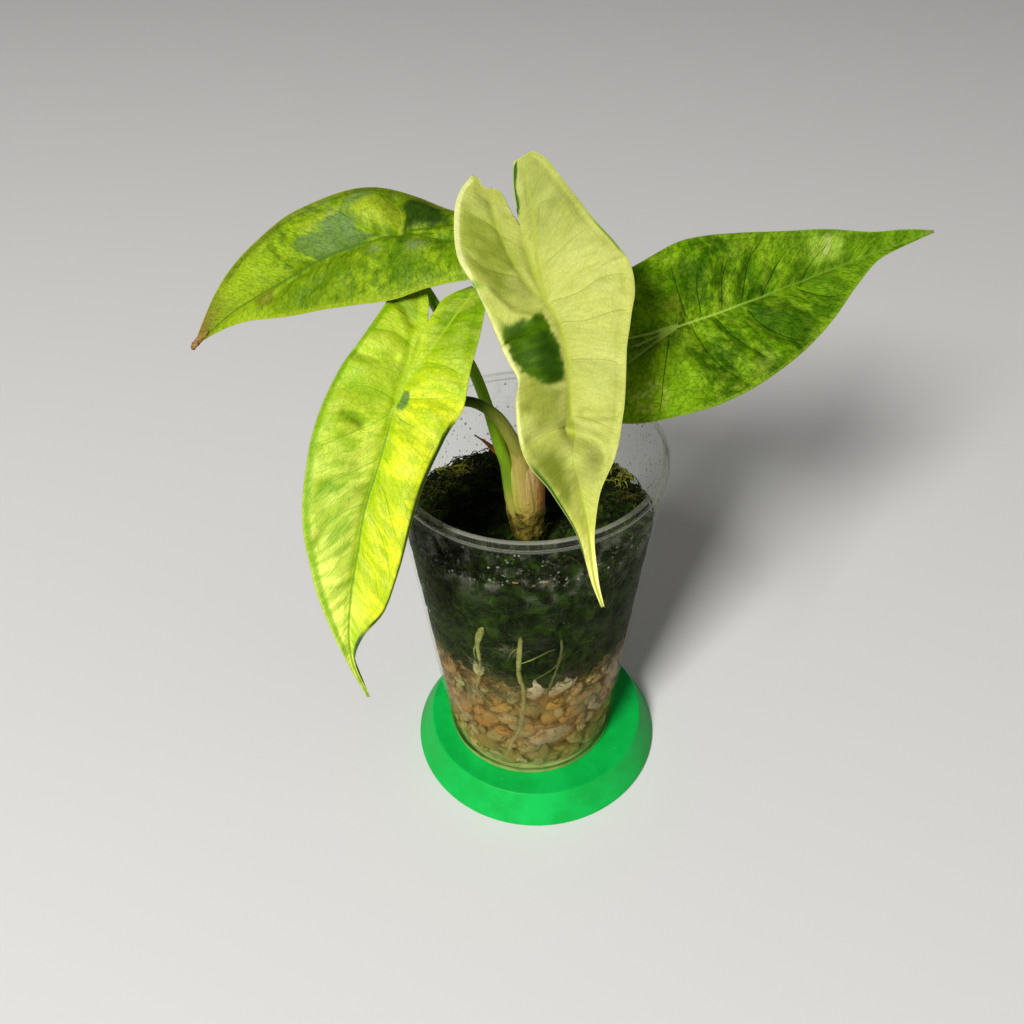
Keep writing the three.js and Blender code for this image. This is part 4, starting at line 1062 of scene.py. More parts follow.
def blade_piece(node):
    blade, looks = BLADES[node], LEAF_LOOKS[node]
    (x, y, lift, from_edge, row), quads = blade_sheet(blade)
    ribs, side = vein_lines(node)
    rib_away, rib_share = line_distance(x, y, ribs)
    side_away, side_share = line_distance(x, y, side)
    notch_away, _ = line_distance(x, y, [(blade.outline(), 1, 1)])
    edge_away = np.where(row > 2.5, from_edge, np.minimum(notch_away, from_edge))
    height = lift + blade_relief(node, x, y, edge_away, rib_away, side_away)
    thickness = LEAF_EDGE_THICKNESS + (LEAF_THICKNESS - LEAF_EDGE_THICKNESS) * step(edge_away, 0, 1.6)
    keel = UNDER_RIB * np.exp(-rib_away**2) + UNDER_SIDE_VEIN * np.exp(-(side_away / 0.6)**2)
    top = blade.on_surface(x, y, height)
    plain = sheet_normals(blade.on_surface(x, y, lift), quads)
    bottom = top - plain * (thickness + keel * step(edge_away, 0, 2))[:, None]

    paint = Paint(blade, PATCHES[node], x, y, row, from_edge, looks["ground"])
    looks["paint"](paint)
    count = len(x)
    rim = open_edges(quads)
    walls = np.stack([rim[:, 1], rim[:, 0], rim[:, 0] + count, rim[:, 1] + count], -1)
    faces = np.vstack([quads, quads[:, ::-1] + count, walls])
    layer = np.zeros(count)
    upper = {
        "place": np.stack([x, y, layer], -1),
        "weave": np.stack([paint.root, y, layer], -1),
        "tint": paint.colour, "under": layer,
        "rib_away": rib_away, "rib_share": np.clip(rib_share, -FAR_SHARE, FAR_SHARE),
        "side_away": side_away, "side_share": np.clip(side_share, -FAR_SHARE, FAR_SHARE),
        "edge_away": edge_away,
    }
    lower = {**upper, "under": layer + 1}
    for name in ("place", "weave"):
        lower[name] = upper[name] + (0, 0, UNDERSIDE_LAYER)
    fields = {name: np.concatenate([upper[name], lower[name]]) for name in upper}
    material = leaf_material(node + "_skin", looks, blade.mid[-1])
    piece = new_piece(node + "_blade", np.vstack([top, bottom]), faces, material, fields)
    return stands_for(piece, node)


def blade_relief(node, x, y, edge_away, rib_away, side_away):
    """The blade's own hills and hollows: sunk veins, swollen fields between them, folds and ripples."""
    blade, looks = BLADES[node], LEAF_LOOKS[node]
    veins_away = np.minimum(rib_away, side_away)
    height = looks["swell"] * (1 - np.exp(-(veins_away / 4)**2)) * step(edge_away, 0, 5)
    height = height - looks["groove"] * (0.6 * np.exp(-(side_away / 0.8)**2) + np.exp(-(rib_away / 1.1)**2))
    for route, tall, reach in RELIEF[node]["creases"]:
        away, _ = line_distance(x, y, [(fine_route(blade, route), 1, 1)])
        height = height + FOLD_GAIN * tall * np.exp(-(away / reach)**2) * step(edge_away, 0, 2)
    for pixel, size, tall in RELIEF[node]["bulges"]:
        (cx, cy), = blade.at_pixels([pixel])
        height = height + FOLD_GAIN * tall * np.exp(-((x - cx) / size[0])**2 - ((y - cy) / size[1])**2)
    ripples = grain(blade.weave(x, y), 0.4 * y, 2.2, 78, 3)
    return height + (0.25 * grain(x, y, 6, 77, 2) + RIPPLE * ripples) * step(edge_away, 0, 3)


def sheet_normals(points, quads):
    """The mean direction of the faces round each point of a sheet."""
    a, b, c, d = (points[quads[:, k]] for k in range(4))
    face = np.cross(c - a, d - b)
    total = np.zeros_like(points)
    for k in range(4):
        np.add.at(total, quads[:, k], face)
    return unit(total + 1e-12)


def open_edges(quads):
    """The edges that only one of the faces uses, each in that face's direction."""
    edges = np.vstack([quads[:, [k, (k + 1) % 4]] for k in range(4)])
    ordered = np.sort(edges, axis=1)
    _, first, counts = np.unique(ordered, axis=0, return_index=True, return_counts=True)
    return edges[first[counts == 1]]


def limb_mesh(route, radii, sides, steps, lump):
    """Points, faces and lengthwise shares of a round limb along a smooth route. lump(t, angle) adds
    to its radius."""
    t = np.linspace(0, len(route) - 1, steps + 1)
    centres = spread(route, steps + 1)
    directions = unit(np.gradient(centres, axis=0))
    across = np.empty_like(centres)
    side = np.array([1.0, 0, 0])
    for k, direction in enumerate(directions):
        side = unit(side - direction * (side @ direction))
        across[k] = side
    other = np.cross(directions, across)
    angle = full_turn(sides) * np.ones((steps + 1, 1))
    size = spread(radii, steps + 1) * np.ones(sides) + lump(t[:, None] * np.ones(sides), angle)
    points = (centres[:, None] + across[:, None] * (np.cos(angle) * size)[..., None]
              + other[:, None] * (np.sin(angle) * size)[..., None]).reshape(-1, 3)
    i = np.arange(angle.size).reshape(angle.shape)
    faces = [*band_faces(i).tolist(), i[0][::-1].tolist(), i[-1].tolist()]
    return points, faces, np.repeat(t / t[-1], sides)


STALK_LOOKS = {
    "leaf_left_back": ((112, 146, 16), (118, 162, 20), (130, 174, 28)),
    "leaf_left_front": ((138, 134, 54), (56, 80, 2), (70, 100, 6)),
    "leaf_centre": ((186, 168, 96), (170, 176, 70), (206, 214, 110)),
    "leaf_right": ((160, 150, 70), (104, 140, 24), (120, 160, 40)),
}


def stalk_material(name, foot, middle, top):
    s = Shader(name)
    along = s.field("along")
    streaks = s.noise(s.stretch(s.place(), (1.4, 1.4, 0.12)), 0.6, 3)
    colour = s.lay(foot, middle, along, 0.15, 0.55)
    colour = s.lay(colour, top, along, 0.6, 1.0)
    darker = s.mix(1.0, colour, (0.6, 0.65, 0.5), "MULTIPLY")
    colour = s.mix(s.band(streaks, 0.4, 0.7, 0, 0.5), colour, darker)
    return s.surface(colour, s.band(streaks, 0.3, 0.7, 0.35, 0.5), s.bump(streaks, 0.12), shine=0.1)


def stalk_piece(node):
    route, radii = STALKS[node]
    zero = np.zeros(1)
    route = [*route[:-1], BLADES[node].on_surface(zero, zero, -radii[-1] - 1.0)[0]]
    ridges = lambda t, angle: 0.05 * np.sin(5 * angle + 0.6 * t) + 0.04 * np.sin(9 * angle - t)
    points, faces, along = limb_mesh(route, radii, sides=28, steps=90, lump=ridges)
    material = stalk_material(node + "_stalk_skin", *STALK_LOOKS[node])
    piece = new_piece(node + "_stalk", points, faces, material, {"along": along})
    return stands_for(piece, node)


def stem_knobs(t, angle):
    """Rings and lumps at the stem's foot, and the edges of old sheaths wrapped round it above."""
    base = step(-t, -2.9, -1.9)
    rings = 0.3 * np.sin(9 * t + 0.8 * np.sin(angle * 2))
    lumps = 0.8 * grain(t * 12, np.cos(angle) * 8 + 9, 3.4, 5) * grain(t * 9, np.sin(angle) * 8, 4, 6, 2)
    wraps = sum(0.45 * step(np.sin(angle - start + 0.12 * t), 0.0, 0.12) for start in (0.6, 2.4, 4.4))
    return (rings + lumps) * base + wraps * step(t, 2, 3) * step(-t, -5.6, -4) - 0.4


def stem_material():
    s = Shader("stem_skin")
    place = s.place()
    height, across = s.part(place, 2), s.part(place, 0)
    streaks = s.noise(s.stretch(place, (1.2, 1.2, 0.12)), 0.8, 4)
    blots = s.noise(place, 2.6, 4)
    specks = s.noise(place, 1.1, 3)
    body = s.lay((162, 144, 66), (178, 150, 92), height, 144, 158)
    body = s.lay(body, (150, 160, 50), across, -5, -1.5, 0.7, 0)
    body = s.lay(body, (150, 92, 30), across, 0.5, 5)
    body = s.lay(body, (214, 192, 128), streaks, 0.56, 0.7, 0, 0.5)
    body = s.lay(body, (124, 92, 34), streaks, 0.3, 0.45, 0.4, 0)
    base = s.lay((66, 52, 10), (134, 112, 42), blots, 0.35, 0.65)
    base = s.lay(base, (26, 22, 4), specks, 0.5, 0.68, 0, 0.9)
    base = s.lay(base, (66, 84, 6), s.noise(place, 1.8, 4), 0.46, 0.66, 0, 0.75)
    waver = s.plus(height, s.times(s.minus(blots, 0.5), 16.0))
    colour = s.mix(s.band(waver, 138, 144), base, body)
    # Painted shade: near black at and just above the soil line, where the stem goes into the soil.
    colour = s.mix(s.band(waver, 122, 126), srgb(14, 12, 5), colour)
    relief = s.bump(s.plus(streaks, specks), 0.35)
    return s.surface(colour, s.band(streaks, 0.3, 0.7, 0.45, 0.7), relief, shine=0.3)


def stem_piece():
    points, faces, _ = limb_mesh(STEM_ROUTE, STEM_RADII, sides=120, steps=170, lump=stem_knobs)
    return stands_for(new_piece("stem_fine", points, faces, stem_material()), "stem")


# Leaf sheaths that run down the stem's near side: route, radii, and colours of foot, middle and top
SHEATHS = {
    "sheath_left_back": ([(-4.4, -18.3, 136), (-5, -19, 141), (-5.6, -18.7, 147), (-6.1, -18.2, 153),
                          (-6.6, -18.3, 159), (-7.9, -18.5, 164), (-9, -18.1, 168)],
                         [0.9, 1.9, 2.3, 2.35, 2.3, 2.15, 1.9],
                         ((160, 150, 66), (100, 130, 22), (106, 140, 18))),
    "sheath_left_front": ([(-0.8, -19, 141), (-1.5, -19.6, 148), (-2.2, -19.7, 155), (-2.7, -19.8, 162),
                           (-3.8, -21, 168.5), (-5.6, -22.5, 173.5)], [1.6, 2.5, 2.7, 2.6, 2.35, 1.9],
                          ((172, 150, 80), (160, 144, 70), (124, 126, 48))),
}


def sheath_pieces():
    folds = lambda t, angle: 0.12 * np.sin(3 * angle + t) + 0.05 * np.sin(8 * angle)
    for name, (route, radii, colours) in SHEATHS.items():
        points, faces, along = limb_mesh(route, radii, sides=28, steps=60, lump=folds)
        piece = new_piece(name, points, faces, stalk_material(name + "_skin", *colours), {"along": along})
        adds_to(piece)


# The shrivelled tip of the left back leaf: leaf coordinates and height, and half widths
DRY_TIP = [(73.0, 0.3, -0.2), (75.6, 0.1, -0.05), (77.8, -0.2, 0.2), (79.6, -0.9, 0.7), (80.9, -1.6, 0.4)]
DRY_TIP_RADII = [0.3, 1.2, 1.4, 1.5, 0.8]
DRY_TIP_FLAT_TURN = 0.82


def shrivel(t, angle):
    """Flattens the dry tip and crumples it."""
    whole = smooth_curve(range(len(DRY_TIP_RADII)), DRY_TIP_RADII, t)[..., 0]
    flat = 0.66 * whole * (1 - np.abs(np.cos(angle - DRY_TIP_FLAT_TURN - 0.25 * t)))
    return 0.12 * whole * grain(3 * t, 2 * np.cos(angle) + 5, 0.9, 64) - flat


def dry_tip_piece():
    x, y, lift = np.array(DRY_TIP).T
    route = BLADES["leaf_left_back"].on_surface(x, y, lift - 0.2)
    points, faces, along = limb_mesh(route, DRY_TIP_RADII, sides=28, steps=50, lump=shrivel)
    s = Shader("dry_tip_skin")
    blots = s.noise(s.place(), 1.2, 4)
    colour = s.lay((110, 76, 36), (176, 136, 82), blots, 0.35, 0.7)
    colour = s.lay(colour, (124, 112, 34), s.field("along"), 0.1, 0.55, 0.9, 0)
    material = s.surface(colour, 0.7, s.bump(blots, 0.25), shine=0.25)
    return adds_to(new_piece("dry_tip", points, faces, material, {"along": along}))


# The thin dry sheath that leans off the stem: route and radii
DRY_SHEATH_ROUTE = [(-7, -12.8, 156.5), (-10.2, -11, 158.4), (-14, -8.2, 160.2), (-17.4, -6, 161.4)]
DRY_SHEATH_RADII = [0.9, 0.75, 0.55, 0.2]


def dry_sheath_piece():
    twist = lambda t, angle: 0.18 * np.sin(2 * angle + 2 * t)
    points, faces, _ = limb_mesh(DRY_SHEATH_ROUTE, DRY_SHEATH_RADII, sides=16, steps=40, lump=twist)
    s = Shader("dry_sheath_skin")
    fibres = s.noise(s.stretch(s.place(), (2, 2, 0.5)), 0.5, 4)
    material = s.surface(s.lay((120, 52, 16), (196, 110, 50), fibres, 0.35, 0.65), 0.75, s.bump(fibres, 0.2))
    return stands_for(new_piece("dry_sheath_fine", points, faces, material), "dry_sheath")


# The cup and the stand

STAND_HEIGHT = 13.0
CUP_TOP = 151.0
LIP_FOOT = CUP_TOP - 3.6
CUP_FOOT_RADIUS = 33.0
CUP_RIM_RADIUS = 47.5
CUP_WALL = 0.9
CUP_FLOOR = 17.0
STAND_FOOT_RADIUS = 49.5
STAND_TOP_RADIUS = 43.5
STAND_SHIFT = (2.3, 0.7)
WALL_SLOPE = (CUP_RIM_RADIUS - CUP_FOOT_RADIUS) / (CUP_TOP - STAND_HEIGHT)


def inner_radius(z):
    return CUP_FOOT_RADIUS - CUP_WALL + (z - STAND_HEIGHT) * WALL_SLOPE


def turned_mesh(profile, sides):
    """Points and faces of a turned shape whose profile starts and ends on the axis."""
    (_, low), *rows, (_, high) = profile
    radius, z = np.array(rows, float).T[..., None] * np.ones(sides)
    return closed_rings(round_axis(radius, full_turn(sides), z), (0, 0, low), (0, 0, high))


def arc(centre, radius, start, end, count):
    """Points on part of a circle, with angles in degrees from outwards towards up."""
    angles = np.radians(np.linspace(start, end, count))
    return [(centre[0] + radius * math.cos(a), centre[1] + radius * math.sin(a)) for a in angles]


def stand_piece():
    slope = (STAND_FOOT_RADIUS - STAND_TOP_RADIUS) / STAND_HEIGHT
    profile = [(0, 0), (30, 0), (48.6, 0), *arc((48.7, 0.8), 0.8, -80, 20, 5),
               *[(STAND_FOOT_RADIUS - slope * z, z) for z in (3, 6, 9)],
               *arc((42.9, 12.2), 0.8, 20, 85, 6), (42.0, 13), (36, 13), (20, 13), (0, 13)]
    points, faces = turned_mesh(profile, sides=220)
    s = Shader("stand_green")
    place = s.place()
    cloud = s.noise(place, 14, 3)
    layers = s.noise(s.stretch(place, (0.02, 0.02, 1)), 0.45, 2)
    colour = s.lay((2, 166, 62), (6, 184, 76), cloud, 0.35, 0.7)
    colour = s.lay(colour, (120, 226, 150), s.noise(place, 0.8, 3), 0.66, 0.75, 0, 0.35)
    material = s.surface(colour, s.band(cloud, 0.3, 0.7, 0.42, 0.56), s.bump(layers, 0.05), 1.46, 0.2)
    piece = new_piece("stand_fine", points + (*STAND_SHIFT, 0), faces, material)
    return stands_for(piece, "stand")


def cup_profile():
    """Up the outside, over the rolled lip and down the inside, as radius and height."""
    foot, lip, floor = STAND_HEIGHT, LIP_FOOT, CUP_FLOOR
    outer = lambda z: inner_radius(z) + CUP_WALL
    return [(0, foot + 3), (20, foot + 3), (29.4, foot + 3), (29.9, foot + 2.6), (30.4, foot + 0.3),
            (30.7, foot), (32.4, foot), *arc((32.2, foot + 0.9), 0.9, -60, 0, 4),
            *[(outer(z), z) for z in np.linspace(foot + 3, lip - 0.4, 24)],
            (outer(lip) + 0.25, lip - 0.1), (46.6, lip), (47.1, lip + 0.25),
            *arc((45.9, lip + 2.0), 1.6, -20, 130, 12),
            (inner_radius(lip + 1.2) - 0.15, lip + 1.4), (inner_radius(lip), lip + 0.3),
            *[(inner_radius(z), z) for z in np.linspace(lip - 1, floor + 1.2, 24)],
            (inner_radius(floor) - 0.25, floor + 0.35), (inner_radius(floor) - 0.9, floor),
            (20, floor), (0, floor)]


def cup_material():
    """Clear plastic. share is how much of it shows as a surface, in haze, marks, film, and painted
    highlights: lines along the lip and a band round the foot.
    """
    s = Shader("cup_clear")
    place = s.place()
    height = s.part(place, 2)
    haze = s.noise(place, 9, 4)
    blots = s.band(s.noise(place, 6, 3, 0.5), 0.52, 0.68, 0, 0.07)
    scratches = s.band(s.noise(s.stretch(place, (1, 1, 0.15)), 1.6, 3), 0.6, 0.72, 0, 0.06)
    marks = s.times(s.plus(blots, scratches), s.band(height, 117, 128))
    on_lip = s.band(height, LIP_FOOT - 0.4, LIP_FOOT + 0.1)
    # Painted highlight: an opaque pale yellow-green band round the cup's foot.
    foot_glint = s.band(height, STAND_HEIGHT + 1.8, STAND_HEIGHT + 4.4, 0.55, 0)
    # Painted highlights: thin opaque pale lines at the foot and the top of the lip, for the rim's bright
    # arcs.
    low_lip_glint = s.band(s.size_of(s.minus(height, LIP_FOOT + 0.15)), 0.12, 0.3, 0.26, 0)
    lines = s.plus(low_lip_glint, s.band(height, CUP_TOP - 0.4, CUP_TOP - 0.2, 0, 0.3))
    film = s.times(s.band(height, 62, 84, 0.24, 0.0), s.band(s.noise(place, 7, 4), 0.4, 0.64, 0.25, 1))
    facing = s.add("ShaderNodeLayerWeight", {"Blend": 0.35}).outputs["Facing"]
    rim = s.times(s.calc("POWER", facing, 4.0), s.band(on_lip, 0.0, 1.0, 0.14, 0.6))
    share = s.plus(s.band(haze, 0.5, 0.75, 0.0, 0.01), film, foot_glint, lines, marks, s.times(on_lip, 0.015))
    share = s.calc("ADD", share, rim, clamp=True)
    colour = s.lay((170, 122, 40), (128, 120, 62), s.noise(place, 11, 3), 0.4, 0.62)
    colour = s.mix(s.band(height, 20, 34), srgb(150, 160, 84), colour)
    colour = s.lay(colour, (206, 206, 184), height, 70, 96)
    # The painted highlight's pale yellow-green at the foot.
    colour = s.mix(foot_glint, colour, srgb(196, 214, 120))
    return s.see_through(share, s.solid(colour, 0.1, s.bump(haze, 0.15), 1.46), (0.97, 0.98, 0.97))


def cup_piece():
    piece = new_piece("cup_fine", *turned_mesh(cup_profile(), sides=200), cup_material())
    return stands_for(piece, "cup")


def on_wall(pixels, gap):
    """Places inside the near wall of the cup, gap away from it, that the photo shows at these pixels."""
    rays = pixel_rays(pixels)
    x, y, z = CAMERA_PLACE
    reach = inner_radius(z) - gap
    rise = WALL_SLOPE * rays[:, 2]
    square = rays[:, 0]**2 + rays[:, 1]**2 - rise**2
    slope = x * rays[:, 0] + y * rays[:, 1] - reach * rise
    near = (-slope - np.sqrt(slope**2 - square * (x**2 + y**2 - reach**2))) / square
    return CAMERA_PLACE + near[:, None] * rays


DROP_COUNT = 1200
DROP_SIDES = 8
DROPS_TOP = 146
SOIL_EDGE_LEVEL = 126


def wall_directions(angle):
    """Outwards from the cup's axis, and sideways, at each angle."""
    return round_axis(1, angle, 0 * angle), round_axis(1, angle + math.pi / 2, 0 * angle)


def drops_mesh():
    """Low domes on the wall's inside: two ragged rings and a top point each."""
    random = np.random.default_rng(91)
    count = int(DROP_COUNT * FINE)
    angle = random.uniform(0, 2 * math.pi, count)
    size = 0.12 + 0.4 * random.uniform(0, 1, count)**3
    low = soil_near(inner_radius(SOIL_EDGE_LEVEL), angle) + 1
    z = low + (DROPS_TOP - low) * random.uniform(0, 1, count)**1.5
    outward, along = wall_directions(angle)
    upward = unit(outward * WALL_SLOPE + (0, 0, 1))
    middle = round_axis(inner_radius(z) - 0.04, angle, z)
    turn = full_turn(DROP_SIDES)
    rings = []
    for wide, deep in ((1.0, 0.0), (0.8, 0.35)):
        ragged = size[:, None] * wide * random.uniform(0.75, 1.2, (count, DROP_SIDES))
        ring = (along[:, None] * (np.cos(turn) * ragged)[..., None]
                + upward[:, None] * (np.sin(turn) * ragged * 1.15)[..., None])
        rings.append(middle[:, None] + ring - outward[:, None] * (deep * size)[:, None, None])
    top = middle - outward * (0.5 * size)[:, None]
    points = np.concatenate([*rings, top[:, None]], 1).reshape(-1, 3)
    i = np.arange(len(points)).reshape(count, -1)
    rows, tips = i[:, :-1].reshape(count, 2, DROP_SIDES), i[:, -1:].repeat(DROP_SIDES, 1)
    lids = np.stack([np.roll(rows[:, 1], -1, axis=1), rows[:, 1], tips], -1).reshape(-1, 3)
    return points, rows[:, 0].tolist() + band_faces(rows[:, ::-1]).tolist() + lids.tolist()


def drops_piece():
    """Droplets and specks of dirt on the wall's inside, above the soil."""
    s = Shader("drops_skin")
    stain = s.noise(s.place(), 3, 2)
    solid = s.solid(s.lay((96, 98, 66), (160, 164, 144), stain, 0.4, 0.6), 0.2, ior=1.33)
    material = s.see_through(s.band(stain, 0.3, 0.7, 0.25, 0.6), solid, (1, 1, 1))
    return adds_to(new_piece("wall_drops", *drops_mesh(), material))


# Fills, roots, moss and stones

SOIL_LEVEL = 123.5
SOIL_SLOPE = 0.12
SOIL_ROUGH = 1.5
SOIL_SEED = 51
LAYER_LEVEL = 70.0
LAYER_GAP = 0.3
FILL_CLEARANCE = 0.45
LUMP_SIZE = 4.2
# The wall's radius where it is laid out flat, for the fills and root hairs, and for the moss
LOW_WALL_REACH = 38
HIGH_WALL_REACH = 40
# Mounds and hollows of the soil: their place, size and height
SOIL_MOUNDS = [(-27, 8, 12, 4), (28, -6, 13, 3.5), (6, 26, 14, 2.5), (-13, -10, 8, -4), (12, -13, 8, -4),
               (0, 2, 9, -2.5)]


def soil_height(x, y):
    z = SOIL_LEVEL - SOIL_SLOPE * y + 0.8 * np.sin(0.35 * x + 0.6) * np.cos(0.31 * y)
    for mx, my, size, tall in SOIL_MOUNDS:
        z = z + tall * np.exp(-((x - mx)**2 + (y - my)**2) / size**2)
    return z


def layer_height(x, y):
    return LAYER_LEVEL + 3 * np.sin(0.11 * x + 0.9) * np.cos(0.12 * y) - 0.05 * y


def plug_mesh(top_height, under_height, sides, rings, levels, rough, seed, inset=0.0):
    """A fill of the cup: its side follows the wall and is rough, and its top is lumpy."""
    angle = full_turn(sides)
    radius = np.full(sides, inner_radius(LAYER_LEVEL))
    heights = []
    for height in (top_height, under_height):
        for _ in range(4):
            z = height(radius * np.cos(angle), radius * np.sin(angle))
            radius = inner_radius(z) - FILL_CLEARANCE
        heights.append(z)
    top, under = heights
    rows = []
    for share in np.linspace(0, 1, levels + 1):
        z = under + (top - under) * share
        dent = rough * np.clip(0.5 + grain(angle * LOW_WALL_REACH, z, 3.0, seed, 4), 0, 2)
        rows.append(round_axis(inner_radius(z) - FILL_CLEARANCE - inset - dent, angle, z))
    edge = np.hypot(*rows[-1][:, :2].T)
    for k in range(rings - 1, 0, -1):
        x, y, _ = round_axis(edge * k / rings, angle, angle).T
        rows.append(np.stack([x, y, top_height(x, y) + lumps(x, y, rough, seed)], -1))
    zero = np.zeros(1)
    return closed_rings(rows, (0, 0, under.mean()), (0, 0, top_height(zero, zero)[0]))


def soil_near(radius, angle):
    """The soil's height at a distance from the cup's axis."""
    return soil_height(radius * np.cos(angle), radius * np.sin(angle))


def lumps(x, y, rough, seed):
    return rough * grain(x, y, LUMP_SIZE, seed + 1, 4)


def soil_piece():
    under = lambda x, y: layer_height(x, y) + LAYER_GAP
    points, faces = plug_mesh(soil_height, under, sides=int(300 * FINE), rings=int(84 * FINE),
                              levels=int(60 * FINE), rough=SOIL_ROUGH, seed=SOIL_SEED)
    s = Shader("soil_dark")
    place = s.place()
    crumbs = s.noise(place, 1.3, 4)
    colour = s.lay((17, 28, 5), (46, 68, 12), s.noise(place, 6, 4), 0.42, 0.68)
    colour = s.lay(colour, (44, 42, 16), crumbs, 0.54, 0.7, 0, 0.8)
    colour = s.lay(colour, (120, 104, 60), s.noise(place, 0.9, 2), 0.7, 0.76)
    material = s.surface(colour, s.band(crumbs, 0.3, 0.7, 0.8, 1.0), s.bump(crumbs, 0.8), 1.4, 0.1)
    return stands_for(new_piece("soil_fine", points, faces, material), "soil_upper")


def lower_piece():
    under = lambda x, y: CUP_FLOOR + 0.35 + 0 * x
    points, faces = plug_mesh(layer_height, under, sides=int(220 * FINE), rings=12, levels=60,
                              rough=1.5, seed=61, inset=1.5)
    s = Shader("fill_brown")
    place = s.place()
    crumbs = s.noise(place, 1.6, 4)
    colour = s.lay((74, 58, 24), (132, 104, 48), s.noise(place, 8, 3), 0.35, 0.6)
    colour = s.lay(colour, (158, 140, 80), crumbs, 0.5, 0.7)
    material = s.surface(colour, s.band(crumbs, 0.3, 0.7, 0.7, 0.95), s.bump(crumbs, 0.8), 1.4, 0.2)
    return stands_for(new_piece("fill_lower_fine", points, faces, material), "fill_lower")


def strand_mesh(routes, radii, sides=4):
    """Points and faces of many closed, thin, tapering tubes. routes is strands by points by 3."""
    count, steps, _ = routes.shape
    direction = unit(np.gradient(routes, axis=1) + 1e-9)
    across = unit(np.cross(direction, (0.31, 0.17, 0.93)))
    other = np.cross(direction, across)
    turn = full_turn(sides)[:, None]
    size = radii[:, None] * np.sin(np.linspace(0.5, math.pi - 0.15, steps))
    ring = np.cos(turn) * across[:, :, None] + np.sin(turn) * other[:, :, None]
    points = (routes[:, :, None] + size[:, :, None, None] * ring).reshape(-1, 3)
    i = np.arange(count * steps * sides).reshape(count, steps, sides)
    return points, band_faces(i).tolist() + i[:, 0, ::-1].tolist() + i[:, -1].tolist()


def moss_material(name):
    s = Shader(name)
    place = s.place()
    colour = s.lay(s.field("tint", "Color"), (16, 20, 4), s.noise(place, 0.8, 2), 0.35, 0.7, 0, 0.6)
    return s.surface(colour, 0.8, s.bump(s.noise(place, 0.3, 2), 0.05), 1.4, 0.25)


def wander(random, count, steps, stride, curl):
    """Random winding paths from the origin, in a plane."""
    heading = random.uniform(0, 2 * math.pi, (count, 1))
    heading = heading + np.cumsum(random.normal(0, curl, (count, steps)), 1)
    return np.cumsum(stride * np.stack([np.cos(heading), np.sin(heading)], -1), 1)


def wall_routes(random, starts, scale, path, gap, depth, top=None):
    """Random winding routes behind the wall. starts are angles times scale, and heights; path is the
    count of steps, their length and their curl; the routes keep from gap to gap + depth away."""
    paths = starts[:, None] + wander(random, len(starts), *path)
    turn, z = paths[..., 0] / scale, paths[..., 1]
    if top is not None:
        z = np.minimum(z, top(turn))
    reach = inner_radius(z) - gap - depth * random.uniform(0, 1, (len(starts), 1))
    return round_axis(reach, turn, z)


def moss_colours(random, count, dark, light, share):
    """One colour for each strand; share is how light the strands are, 0 to 1."""
    light_share = np.clip(share + random.normal(0, 0.2, count), 0, 1)[:, None]**1.5
    return srgb(*dark) * (1 - light_share) + srgb(*light) * light_share


# Clumps of moss on the soil: the photo's pixel, size in millimetres, strands, and how light they are
MOSS_CLUMPS = [((453, 472), 4, 36, 0.9), ((438, 492), 6, 70, 0.4), ((478, 468), 7, 90, 0.2),
               ((620, 478), 4, 34, 0.85), ((632, 498), 4, 50, 0.35), ((600, 475), 6, 60, 0.15),
               ((543, 533), 2, 12, 0.9), ((470, 505), 7, 50, 0.1), ((580, 520), 7, 40, 0.05),
               ((430, 512), 4, 30, 0.3), ((520, 460), 10, 80, 0.1)]


def on_soil(pixels):
    """Places on the soil's top that the photo shows at these pixels."""
    rays = pixel_rays(pixels)
    z = np.full(len(rays), SOIL_LEVEL)
    for _ in range(20):
        spots = CAMERA_PLACE + rays * ((z - CAMERA_PLACE[2]) / rays[:, 2])[:, None]
        z = soil_height(spots[:, 0], spots[:, 1])
    return spots


LOOSE_STRANDS = 900
TOP_STEPS = 8
SIDE_STRANDS = 5000
SIDE_STEPS = 6
LOW_STRANDS = 0.26
SOIL_RADIUS = 43
MOSS_HEIGHTS = (62, 128)
LOW_MOSS_HEIGHTS = (19, 68)


def moss_top_piece():
    """Strands of moss that lie on the soil, in clumps and loose."""
    random = np.random.default_rng(81)
    starts, light = [], []
    for pixel, size, count, bright in MOSS_CLUMPS:
        centre = on_soil([pixel])[0, :2]
        count = int(count * FINE)
        starts.append(centre + random.normal(0, size * 0.5, (count, 2)))
        light.append(np.full(count, bright))
    loose = int(LOOSE_STRANDS * FINE)
    angle = random.uniform(0, 2 * math.pi, loose)
    reach = SOIL_RADIUS * np.sqrt(random.uniform(0, 1, loose))
    starts.append(round_axis(reach, angle, angle)[:, :2])
    light.append(np.full(loose, -0.1))
    starts, light = np.vstack(starts), np.concatenate(light)
    paths = starts[:, None] + wander(random, len(starts), TOP_STEPS, stride=0.85, curl=0.5)
    arch = np.sin(np.linspace(0, math.pi, TOP_STEPS)) * random.uniform(0.1, 1.3, (len(starts), 1))
    x, y = paths[..., 0], paths[..., 1]
    heights = soil_height(x, y) + lumps(x, y, SOIL_ROUGH, SOIL_SEED) + 0.15 + arch
    routes = against_wall(np.stack([x, y, heights], -1).reshape(-1, 3), 0.5)
    radii = random.uniform(0.08, 0.27, len(starts)) * (1 + 0.8 * (light > 0.8))
    mesh = strand_mesh(routes.reshape(*x.shape, 3), radii)
    tint = moss_colours(random, len(starts), (14, 22, 4), (132, 130, 38), light)
    fields = {"tint": np.repeat(tint, TOP_STEPS * 4, axis=0)}
    return adds_to(new_piece("moss_top", *mesh, moss_material("moss_top_skin"), fields))


